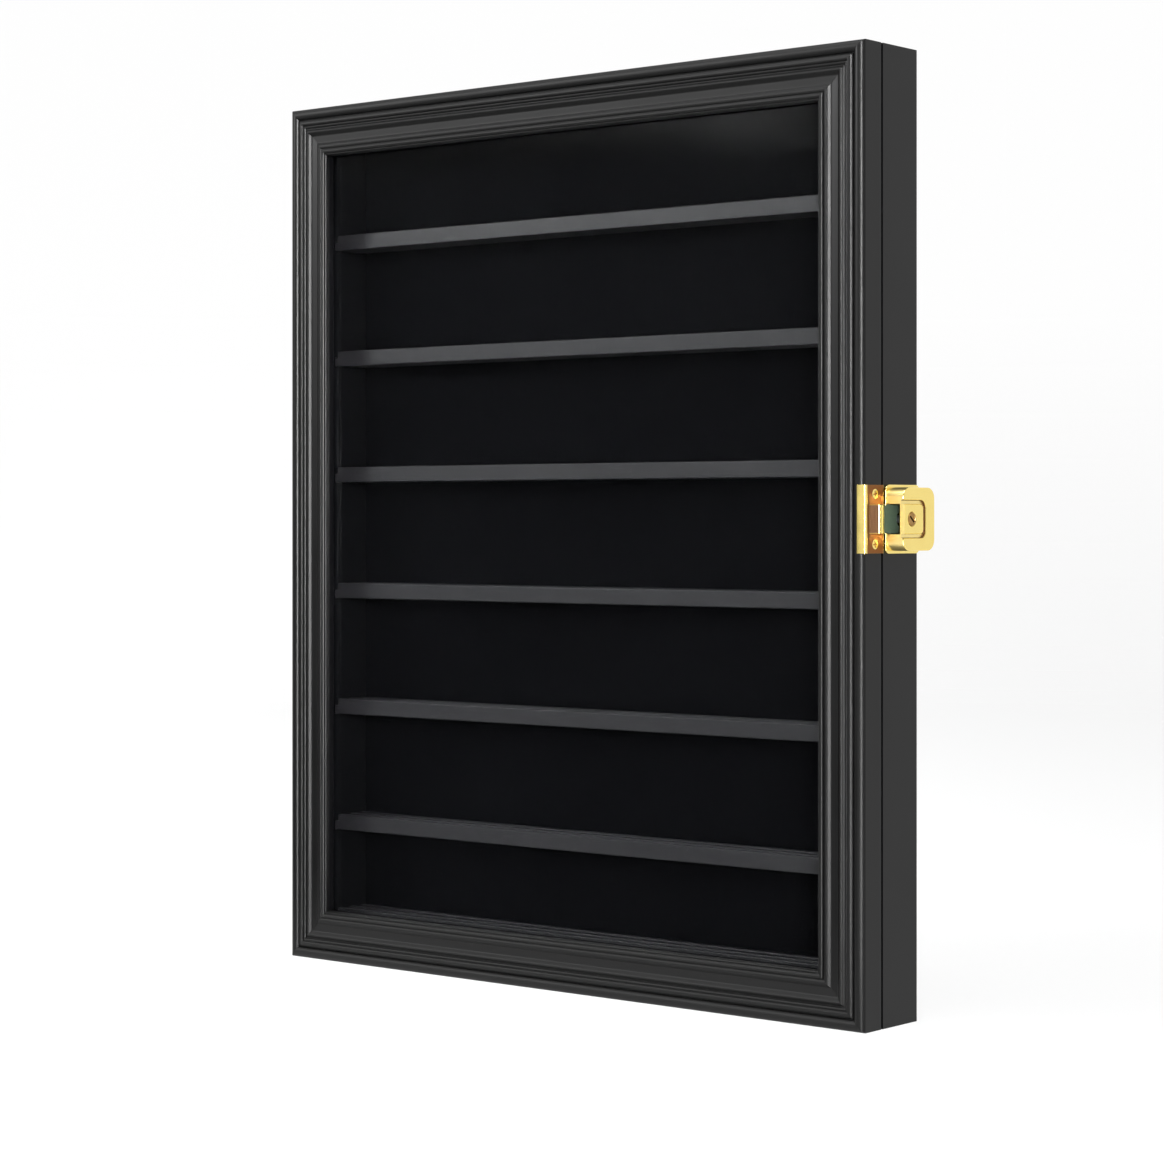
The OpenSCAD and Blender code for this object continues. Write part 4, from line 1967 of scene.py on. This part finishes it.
@dataclass(frozen=True)
class Plan:
    """A rectangle with round corners, as seen square onto the side of the case."""

    front: float
    back: float
    half: float
    radius: float

    def ring(self, x: float, inset: float = 0.0, setback: float = 0.0) -> list[Vector]:
        """Draws the rectangle at one height off the side.

        Args:
            x: The height.
            inset: How far it is drawn in all round.
            setback: How much further back its front lies.

        Returns:
            Its points.
        """
        y0, y1 = self.front + setback + inset, self.back - inset
        half, radius = self.half - inset, max(0.2, self.radius - inset)
        corners = [(y0, -half, radius), (y1, -half, radius), (y1, half, radius), (y0, half, radius)]
        return [Vector((x, y, z)) for y, z in rounded(corners, 8)]

    def stacked(self, name: str, levels: Sequence[Point2]) -> Piece:
        """A piece skinned over the rectangle at several heights, each with its own inset."""
        return lofted(name, [self.ring(x, inset) for x, inset in levels])

    def raised(self, name: str, foot: float, face: float, round_over: float, lean: float = 0.0) -> Piece:
        """Raises the rectangle to a plate whose outer edge is rounded over.

        Args:
            name: The piece's name.
            foot: Height of its foot.
            face: Height of its face.
            round_over: Radius of the rounding between its edge and its face.
            lean: How many degrees its front leans back.

        Returns:
            The plate.
        """
        steps = 5
        rings = [self.ring(foot)]
        for k in range(steps + 1):
            a = math.pi / 2 * k / steps
            x = face - round_over * (1 - math.sin(a))
            setback = math.tan(math.radians(lean)) * (x - foot)
            rings.append(self.ring(x, round_over * (1 - math.cos(a)), setback))
        return lofted(name, rings)


@dataclass
class SideLock:
    """The surface lock on the right-hand side and its strike with the forked strap.

    It is drawn with X off the side of the case, Y into the case and Z from the middle of the lock.
    """

    case: CaseFrame
    nodes: dict[str, Piece]
    base: float = 1.5
    base_corner: float = 3.0
    base_round: float = 0.45
    out: float = 9.5
    front: float = 16.6
    half: float = 14.2
    corner: float = 5.0
    face_round: float = 0.5
    lean: float = 12.0
    wall: float = 2.0
    cavity_top: float = 7.4
    cavity_half: float = 7.3
    cavity_back: float = 33.0
    notch_half: float = 6.8
    notch_corner: float = 1.4
    notch_flare: float = 1.06
    pad_half: float = 6.7
    pad_back: float = 34.4
    pad_corner: float = 2.2
    channel: float = 1.8
    channel_corner: float = 3.2
    channel_depth: float = 1.2
    flare: float = 0.25
    plug_radius: float = 3.0
    plug_clear: float = 0.08
    plug_edge: float = 0.25
    plug_flare: float = 0.3
    plug_y: float = 25.2
    collar: float = 0.6
    collar_height: float = 0.75
    collar_room: float = 0.9
    pivot_radius: float = 1.0
    pivot_foot: float = 0.7
    square_half: float = 1.1
    square_foot: float = 1.6
    keyway: Point2 = (2.1, 0.45)
    keyway_depth: float = 1.4
    key_turn: float = 40.0
    strike_half: float = 15.2
    plate: float = 1.3
    plate_end: float = 14.8
    flange: Point2 = (2.75, -1.1)
    flange_hug: float = 2.6
    corner_bead: float = 1.3
    corner_bead_at: Point2 = (0.9, 0.2)
    strap_half: float = 6.4
    strap_foot: Point2 = (3.4, 10.6)
    strap_roll: float = 2.0
    strap_roll_at: Point2 = (3.3, 8.0)
    strap_heights: Point2 = (2.2, 3.7)
    strap_tip: float = 31.0
    strap_root: float = 0.3
    fork_radius: float = 3.6
    fork_half: float = 2.0
    over: float = 1.0
    hair: float = 0.01
    near: float = 0.3

    def place(self) -> Matrix:
        """The matrix from the lock's drawing to the frame."""
        low, high = self.case.span("lock_base_plate")
        middle = Matrix.Translation((self.case.width, 0, (low.z + high.z) / 2))
        return self.case.place() @ middle

    def build(self) -> None:
        """Makes every piece of the lock."""
        self.make_base()
        self.make_body()
        self.make_plug()
        self.make_strike()
        cam = refined("oval_cam", self.nodes["lock_cam"])
        seat(dress(cam, ZINC), "lock_plug", "zinc_steel", "lock_cam")

    def make_base(self) -> None:
        """Makes the base plate, a hair off the wood."""
        low, high = self.case.span("lock_base_plate")
        plan = Plan(low.y, high.y, (high.z - low.z) / 2, self.base_corner)
        base = plan.raised("brass_base_plate", 2 * self.hair, self.base, self.base_round)
        dress(turned_to(smoothed(base), self.place()), BRASS)
        seat(base, "case", "polished_brass", "lock_base_plate")

    def make_body(self) -> None:
        """Makes the cast body with its pad, channel, notch and inside."""
        _, high = self.case.span("lock_body")
        plan = Plan(self.front, high.y, self.half, self.corner)
        body = plan.raised("brass_lock_body", self.base, self.out, self.face_round, self.lean)
        cavity = block(
            "cavity",
            (self.base - self.over, self.front + self.wall, -self.cavity_half),
            (self.cavity_top, self.cavity_back, self.cavity_half),
        )
        cutters = self.channel_cutter(), self.notch_cutter(), self.rim_cutter(), cavity
        combined(body, "DIFFERENCE", *cutters, self.plug_hole())
        dress(smoothed(body, 30), BRASS)
        lined(body, SATIN_BRASS, Zone(x=(-INF, self.out - self.face_round)))
        # The channel walls get a painted brown shade.
        lined(body, BROWN_SHADE_BRASS, *self.channel_walls())
        near = 5 * self.hair
        inside = Zone(
            x=(-INF, self.cavity_top + near),
            y=(self.front + self.wall - near, self.cavity_back + near),
            z=(-self.cavity_half - near, self.cavity_half + near),
        )
        # The inside of the body gets the painted grey-green shade.
        lined(body, GREEN_SHADE_BRASS, inside)
        turned_to(body, self.place())
        seat(body, "case", "polished_brass", "lock_body")

    def channel_cutter(self) -> Piece:
        """Makes the cutter for the channel with flared edges round the pad.

        Returns:
            The cutter.
        """
        foot, face, flare, over = self.out - self.channel_depth, self.out, self.flare, self.over
        start = self.front - 6 * over
        trough = Plan(
            start, self.pad_back + self.channel, self.pad_half + self.channel, self.channel_corner
        )
        outer = trough.stacked(
            "channel",
            [
                (foot, flare), (foot + flare, 0.0), (face - flare, 0.0), (face, -flare),
                (face + over, -flare),
            ],
        )
        pad = Plan(start - over, self.pad_back, self.pad_half, self.pad_corner).stacked(
            "pad", [(foot - over, 0.0), (face - flare, 0.0), (face, flare), (face + 2 * over, flare)],
        )
        return combined(outer, "DIFFERENCE", pad)

    def notch_cutter(self) -> Piece:
        """Makes the cutter for the notch in the front wall, which flares outwards.

        Returns:
            The cutter.
        """
        low, high, half = self.base - self.hair, self.out + 2 * self.over, self.notch_half
        outline = rounded(
            [
                (low, -half, self.notch_corner), (high, -half, 0.0),
                (high, half, 0.0), (low, half, self.notch_corner),
            ]
        )
        stations = (
            (self.notch_flare, self.front - self.over),
            (self.notch_flare, self.front),
            (1.0, self.front + 0.5),
            (1.0, self.front + self.wall + self.hair),
        )
        rings = [[Vector((x, y, z * share)) for x, z in outline] for share, y in stations]
        return lofted("notch", rings)

    def rim_cutter(self) -> Piece:
        """Makes the cutter that opens the notch through the face, along the leaning front.

        Returns:
            The cutter.
        """
        low, high = self.cavity_top - self.hair, self.out + 2 * self.over
        deepest = self.front + self.wall
        leant = deepest + math.tan(math.radians(self.lean)) * (high - self.cavity_top)
        outline = [(low, self.front), (high, self.front), (high, leant), (low, deepest)]
        ends = (-self.notch_half, self.notch_half)
        return lofted("rim", [[Vector((x, y, z)) for x, y in outline] for z in ends])

    def plug_hole(self) -> Piece:
        """Makes the cutter for the hole that the plug turns in, with room for its collar.

        Returns:
            The cutter.
        """
        radius, top = self.plug_radius + self.plug_clear, self.out + self.over
        wide, flared = radius + self.collar + 0.1, radius + self.plug_flare
        step, foot = self.cavity_top + self.collar_room, 5.0
        profile = [
            (0, foot), (wide, foot), (wide, step), (radius, step),
            (radius, self.out - self.plug_edge), (flared, self.out), (flared, top), (0, top),
        ]
        return turned_to(turned("plug_hole", profile), self.plug_matrix())

    def channel_walls(self) -> Iterable[Zone]:
        """Lists the zones of the body that the channel takes up.

        Yields:
            The arm behind the pad and the two beside it.
        """
        near, face = self.near, self.out - self.near / 2
        x, stop = (self.out - self.channel_depth - near, face), self.channel + near
        half, back = self.pad_half, self.pad_back
        yield Zone(x, (back - near, back + stop), (-half - stop, half + stop))
        yield Zone(x, (-INF, back + stop), (half - near, half + stop))
        yield Zone(x, (-INF, back + stop), (-half - stop, near - half))

    def plug_matrix(self) -> Matrix:
        """The matrix from a piece drawn along +Z to the plug's axis."""
        return Matrix.Translation((0, self.plug_y, 0)) @ Matrix.Rotation(math.pi / 2, 4, "Y")

    def make_plug(self) -> None:
        """Makes the turning plug with its collar, square, pivot and keyway."""
        face, low = self.out + self.plug_edge, self.cavity_top + 5 * self.hair
        radius, edge, pivot = self.plug_radius, self.plug_edge, self.pivot_radius
        foot, wide, step = self.pivot_foot, radius + self.collar, low + self.collar_height
        profile = [
            (0, foot), (pivot - 0.2, foot), (pivot, foot + 0.2), (pivot, low), (wide, low),
            (wide, step), (radius, step), (radius, face - edge), (radius - 0.08, face - 0.08),
            (radius - edge, face), (radius - 0.6, face), (radius - 0.75, face - 0.2),
            (0, face - 0.28),
        ]
        plug = turned("brass_key_plug", profile)
        half = self.square_half
        square = block("square", (-half, -half, self.square_foot), (half, half, low + edge))
        length, width = self.keyway
        slot = block(
            "keyway", (-length, -width, self.out - self.keyway_depth), (length, width, face + self.over),
        )
        turned_to(slot, Matrix.Rotation(math.radians(90 - self.key_turn), 4, "Z"))
        combined(plug, "UNION", square)
        combined(plug, "DIFFERENCE", slot)
        dress(smoothed(plug, 30), PLUG_BRASS)
        # The plug's shaft inside the body gets the painted grey-green shade.
        lined(plug, GREEN_SHADE_BRASS, Zone(z=(-INF, self.cavity_top + self.collar_room)))
        turned_to(plug, self.place() @ self.plug_matrix())
        seat(plug, "lock_plug", "plug_brass", "key_plug")

    def plate_section(self) -> Outline:
        """Draws the strike's section: a flange over the moulding, a bead and a flat plate.

        Returns:
            The outline.
        """
        hug, steps = self.flange_hug, 10
        rise = (self.plate - self.corner_bead_at[0]) / self.corner_bead
        stop = math.degrees(math.acos(rise))
        bead = arc(self.corner_bead_at, self.corner_bead, -90, stop, steps)
        hollow = arc((-hug, hug), hug, 0, -90, steps)
        edges = [(self.plate, self.plate_end, 0.4), (0.0, self.plate_end, 0.2)]
        lip = (-self.flange[0], self.flange[1], 0.5)
        return rounded([lip, *sharp(bead), *edges, *sharp(hollow)])

    def strap_section(self) -> Outline:
        """Draws the strap's section: up from the plate, over a roll, down and into the lock.

        Returns:
            The outline.
        """
        sunk = self.plate - self.strap_root
        (start, stop), (low, high), tip = self.strap_foot, self.strap_heights, self.strap_tip
        roll = arc(self.strap_roll_at, self.strap_roll, -66, 60, 14)
        return rounded(
            [
                *sharp([(sunk, start), (self.plate, start), *roll]),
                (high, stop + 0.8, 1.0), (high, tip, 0.7), (low, tip, 0.7),
                *sharp([(low, stop + 0.6), (self.plate, stop), (sunk, stop)]),
            ]
        )

    def make_strike(self) -> None:
        """Makes the strike plate with its forked strap."""
        plate, strap = (
            turned_to(member(name, section, 2 * half, BRASS, False), Matrix.Translation((0, 0, -half)))
            for name, section, half in (
                ("brass_strike", self.plate_section(), self.strike_half),
                ("strap", self.strap_section(), self.strap_half),
            )
        )
        radius, half, top = self.fork_radius, self.fork_half, 8.0
        hole = turned("fork", [(0, 0), (radius, 0), (radius, top), (0, top)])
        turned_to(hole, self.plug_matrix())
        gap = block("mouth", (0, self.plug_y, -half), (top, self.plug_y + 10, half))
        combined(strap, "DIFFERENCE", hole, gap)
        combined(plate, "UNION", eased(strap, 0.25, 60))
        dress(smoothed(eased(plate, 0.18, 60)), BRASS)
        plate_z, strap_z = self.strike_half - self.near, self.strap_half - 0.2
        painted_plate_reflection = Zone((0.5, self.plate + 0.05), (1.6, 14.4), (-plate_z, plate_z))
        strap_front = Zone((1.0, 4.4), (1.6, 7.2), (-strap_z, strap_z))
        # The flat plate gets a painted orange reflection, the strap's front a painted brown shade, and the
        # part inside the lock the painted grey-green shade.
        lined(plate, REFLECTION_BRASS, painted_plate_reflection)
        lined(plate, BROWN_SHADE_BRASS, strap_front)
        lined(plate, GREEN_SHADE_BRASS, Zone(y=(self.front + self.near, INF)))
        turned_to(plate, self.place())
        seat(plate, "door", "polished_brass", "strike_plate")


# Studio


@dataclass(frozen=True)
class SoftBox:
    """A rectangular studio light, placed as seen from the middle of the case."""

    name: str
    azimuth: float
    elevation: float
    distance: float
    width: float
    height: float
    radiance: float
    aim: Point3 = (0.0, 0.0, 0.22)
    spread: float = 180.0
    middle: Point3 = (0.0, 0.0, 0.22)

    def place(self) -> None:
        """Puts the light on its stand and aims it."""
        turn, tilt = math.radians(self.azimuth), math.radians(self.elevation)
        level = math.cos(tilt)
        away = Vector((math.sin(turn) * level, -math.cos(turn) * level, math.sin(tilt)))
        lamp = bpy.data.lights.new(self.name, "AREA")
        lamp.shape = "RECTANGLE"
        lamp.size = self.width
        lamp.size_y = self.height
        half = math.radians(self.spread) / 2
        focus = 1.0 if self.spread >= 180 else math.tan(half) / (math.tan(half) - half)
        lamp.energy = self.radiance / focus * math.pi * self.width * self.height
        lamp.spread = 2 * half
        stand = bpy.data.objects.new(self.name, lamp)
        stand.location = Vector(self.middle) + away * self.distance
        beam = Vector(self.aim) - stand.location
        stand.rotation_euler = beam.to_track_quat("-Z", "Y").to_euler()
        bpy.context.scene.collection.objects.link(stand)


@dataclass(frozen=True)
class Card:
    """A studio card that only gloss and clear sheets see: lit, or black without a glow."""

    name: str
    material_name: str
    corners: Sequence[Point3]
    faces: Sequence[tuple[int, ...]] = ((0, 1, 2, 3),)
    glow: float = 0.0

    def material(self) -> bpy.types.Material:
        """Makes the card's even glow, or its black.

        Returns:
            The material.
        """
        made = blank_material(self.material_name)
        tree = made.node_tree
        if self.glow > 0:
            lit = {"Color": linear("#ffffff"), "Strength": self.glow}
            face = add(tree, "ShaderNodeEmission", lit)
        else:
            face = add(tree, "ShaderNodeBsdfDiffuse", {"Color": linear("#050505")})
        add(tree, "ShaderNodeOutputMaterial", {"Surface": face.outputs[0]})
        return made

    def stand(self) -> None:
        """Puts the card up."""
        mesh = bpy.data.meshes.new(self.name)
        mesh.from_pydata(self.corners, [], self.faces)
        mesh.materials.append(self.material())
        card = drafted(self.name, mesh)
        card.visible_camera = False
        card.visible_diffuse = False
        card.visible_shadow = False


@dataclass
class Sweep:
    """The floor and the wall behind it, as one round sweep of white paper.

    Its glow is what the camera and gloss see of it, and rises from the floor to the wall.
    """

    radius: float = 2.6
    bend: float = 0.5
    bend_steps: int = 12
    height: float = 2.6
    wall: Point2 = (95.0, 275.0)
    sectors: int = 45
    front_reach: float = 6.0
    front_turns: Point3 = (85.0, 0.0, -75.0)
    floor_glow: float = 0.8
    wall_glow: float = 0.98

    def material(self) -> bpy.types.Material:
        """Makes white paper that keeps a soft shadow and shows as white to camera and gloss.

        Returns:
            The material.
        """
        made = blank_material("white_paper_sweep")
        tree = made.node_tree
        rays = add(tree, "ShaderNodeLightPath").outputs
        gloss = add(
            tree,
            "ShaderNodeMath",
            {0: rays["Is Glossy Ray"], 1: rays["Is Transmission Ray"]},
            operation="MAXIMUM",
        ).outputs[0]
        seen = add(
            tree, "ShaderNodeMath", {0: rays["Is Camera Ray"], 1: gloss}, operation="MAXIMUM"
        ).outputs[0]
        place = add(tree, "ShaderNodeTexCoord").outputs["Object"]
        height = add(tree, "ShaderNodeSeparateXYZ", {0: place}).outputs["Z"]
        glow = add(
            tree,
            "ShaderNodeMapRange",
            {"Value": height, "From Max": self.bend, "To Min": self.floor_glow, "To Max": self.wall_glow},
        ).outputs[0]
        share = add(tree, "ShaderNodeMath", {0: seen, 1: glow}, operation="MULTIPLY").outputs[0]
        paper = add(
            tree, "ShaderNodeBsdfDiffuse", {"Color": linear("#e8e8e8"), "Roughness": 0.5}
        ).outputs[0]
        light = add(tree, "ShaderNodeEmission", {"Color": linear("#ffffff"), "Strength": 1.0}).outputs[0]
        mixed = add(tree, "ShaderNodeMixShader", {0: share, 1: paper, 2: light}).outputs[0]
        add(tree, "ShaderNodeOutputMaterial", {"Surface": mixed})
        return made

    def lay(self) -> None:
        """Lays the floor out to the front and bends the wall up round the back."""
        foot = self.radius - self.bend
        profile = [*arc((foot, self.bend), self.bend, -90, 0, self.bend_steps), (self.radius, self.height)]
        work = bmesh.new()
        rings = []
        first, last = self.wall
        for k in range(self.sectors + 1):
            turn = math.radians(first + (last - first) * k / self.sectors)
            across, ahead = math.sin(turn), -math.cos(turn)
            rings.append([work.verts.new((r * across, r * ahead, z)) for r, z in profile])
        for one, two in zip(rings, rings[1:]):
            for i in range(len(one) - 1):
                work.faces.new((one[i], two[i], two[i + 1], one[i + 1]))
        turns = [math.radians(turn) for turn in reversed(self.front_turns)]
        reach = self.front_reach
        front = [work.verts.new((reach * math.sin(a), -reach * math.cos(a), 0.0)) for a in turns]
        work.faces.new([ring[0] for ring in rings] + front)
        bmesh.ops.recalc_face_normals(work, faces=work.faces)
        sweep = poured("paper_sweep", work)
        sweep.data.materials.append(self.material())


@dataclass
class Studio:
    """White sweep, soft lights, cards and the camera of the photograph."""

    camera_at: Vector = field(default_factory=lambda: Vector((0.9076, -1.0901, 0.2277)))
    camera_yaw: float = 39.793
    lens: float = 90.1
    shift_x: float = 0.0005
    shift_y: float = -0.0544
    world_strength: float = 0.5
    flag_y: float = -0.52
    flag_span: Point2 = (-0.90, -0.178)
    flag_height: float = 0.53
    flag_foot: Point2 = (0.085, -0.125)
    card_y: float = -2.5
    card_span: Point2 = (-1.9, 1.45)
    card_height: float = 3.4
    card_glow: float = 0.95
    strip: tuple[Point2, ...] = ((0.2, -0.16), (0.38, -0.16), (0.95, -0.95), (0.7, -0.95))
    strip_glow: float = 9.0
    lift: float = 0.001
    lights: tuple[SoftBox, ...] = (
        SoftBox("key_softbox", 40, 7, 1.9, 0.6, 0.9, 165.0, (-0.25, 0.0, 0.165), 25.0),
        SoftBox("left_softbox", -41, 21, 1.9, 0.6, 0.5, 19.0),
        SoftBox("top_softbox", 10, 70, 1.5, 1.2, 0.8, 8.0),
    )

    def build(self) -> None:
        """Makes the whole studio."""
        bpy.context.scene.view_settings.view_transform = "Standard"
        self.make_camera()
        self.make_world()
        Sweep().lay()
        for card in self.cards():
            card.stand()
        for light in self.lights:
            light.place()

    def make_camera(self) -> None:
        """Makes the level camera that sees the case from its right front."""
        data = bpy.data.cameras.new("photo_camera")
        data.lens = self.lens
        data.sensor_width = 36
        data.shift_x = self.shift_x
        data.shift_y = self.shift_y
        camera = bpy.data.objects.new("photo_camera", data)
        camera.location = self.camera_at
        camera.rotation_euler = (math.pi / 2, 0, math.radians(self.camera_yaw))
        bpy.context.scene.collection.objects.link(camera)
        bpy.context.scene.camera = camera

    def make_world(self) -> None:
        """Makes a dim even room that the camera sees as white."""
        world = bpy.data.worlds.new("studio_room")
        world.use_nodes = True
        tree = world.node_tree
        tree.nodes.clear()
        seen = add(tree, "ShaderNodeLightPath").outputs["Is Camera Ray"]
        room, white = (
            add(tree, "ShaderNodeBackground", {"Color": linear("#ffffff"), "Strength": strength}).outputs[0]
            for strength in (self.world_strength, 1.0)
        )
        mixed = add(tree, "ShaderNodeMixShader", {0: seen, 1: room, 2: white}).outputs[0]
        add(tree, "ShaderNodeOutputWorld", {"Surface": mixed})
        bpy.context.scene.world = world

    def cards(self) -> Iterable[Card]:
        """Works out the cards.

        Yields:
            A black card with its foot at the front left, which keeps the pane clear. A white one
            behind the camera, which the brass and the lacquer mirror. A lit strip on the floor,
            which carries the key light's mirror image down.
        """
        (x0, x1), y, lift, top = self.flag_span, self.flag_y, self.lift, self.flag_height
        foot_x, foot_y = self.flag_foot
        corners = [
            (x0, foot_y, lift), (foot_x, foot_y, lift), (x1, y, lift), (x0, y, lift),
            (x1, y, top), (x0, y, top),
        ]
        yield Card("black_flag", "black_card", corners, ((0, 1, 2, 3), (3, 2, 4, 5)))
        (x0, x1), y, top = self.card_span, self.card_y, self.card_height
        corners = [(x0, y, 0), (x1, y, 0), (x1, y, top), (x0, y, top)]
        yield Card("white_card", "white_card", corners, glow=self.card_glow)
        corners = [(x, y, 2 * lift) for x, y in self.strip]
        yield Card("lit_strip", "lit_strip", corners, glow=self.strip_glow)


def dress_nodes(frame: dict) -> None:
    for part in frame["record"]["subparts"]:
        dress(frame["nodes"][part["node"]], FINISH_OF_SLOT[part["material_slot"]])


def main() -> None:
    """Builds the studio and every sub-assembly."""
    logging.basicConfig(level=logging.INFO, format="%(name)s: %(message)s")
    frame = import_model()
    Studio().build()
    dress_nodes(frame)
    case = CaseFrame.read()
    Carcase(case).build()
    Shelves(case).build()
    Door(case).build()
    FlatHardware(frame["nodes"]).build()
    SideLock(case, frame["nodes"]).build()
    Fixings(case).build()


if __name__ == "__main__":
    main()
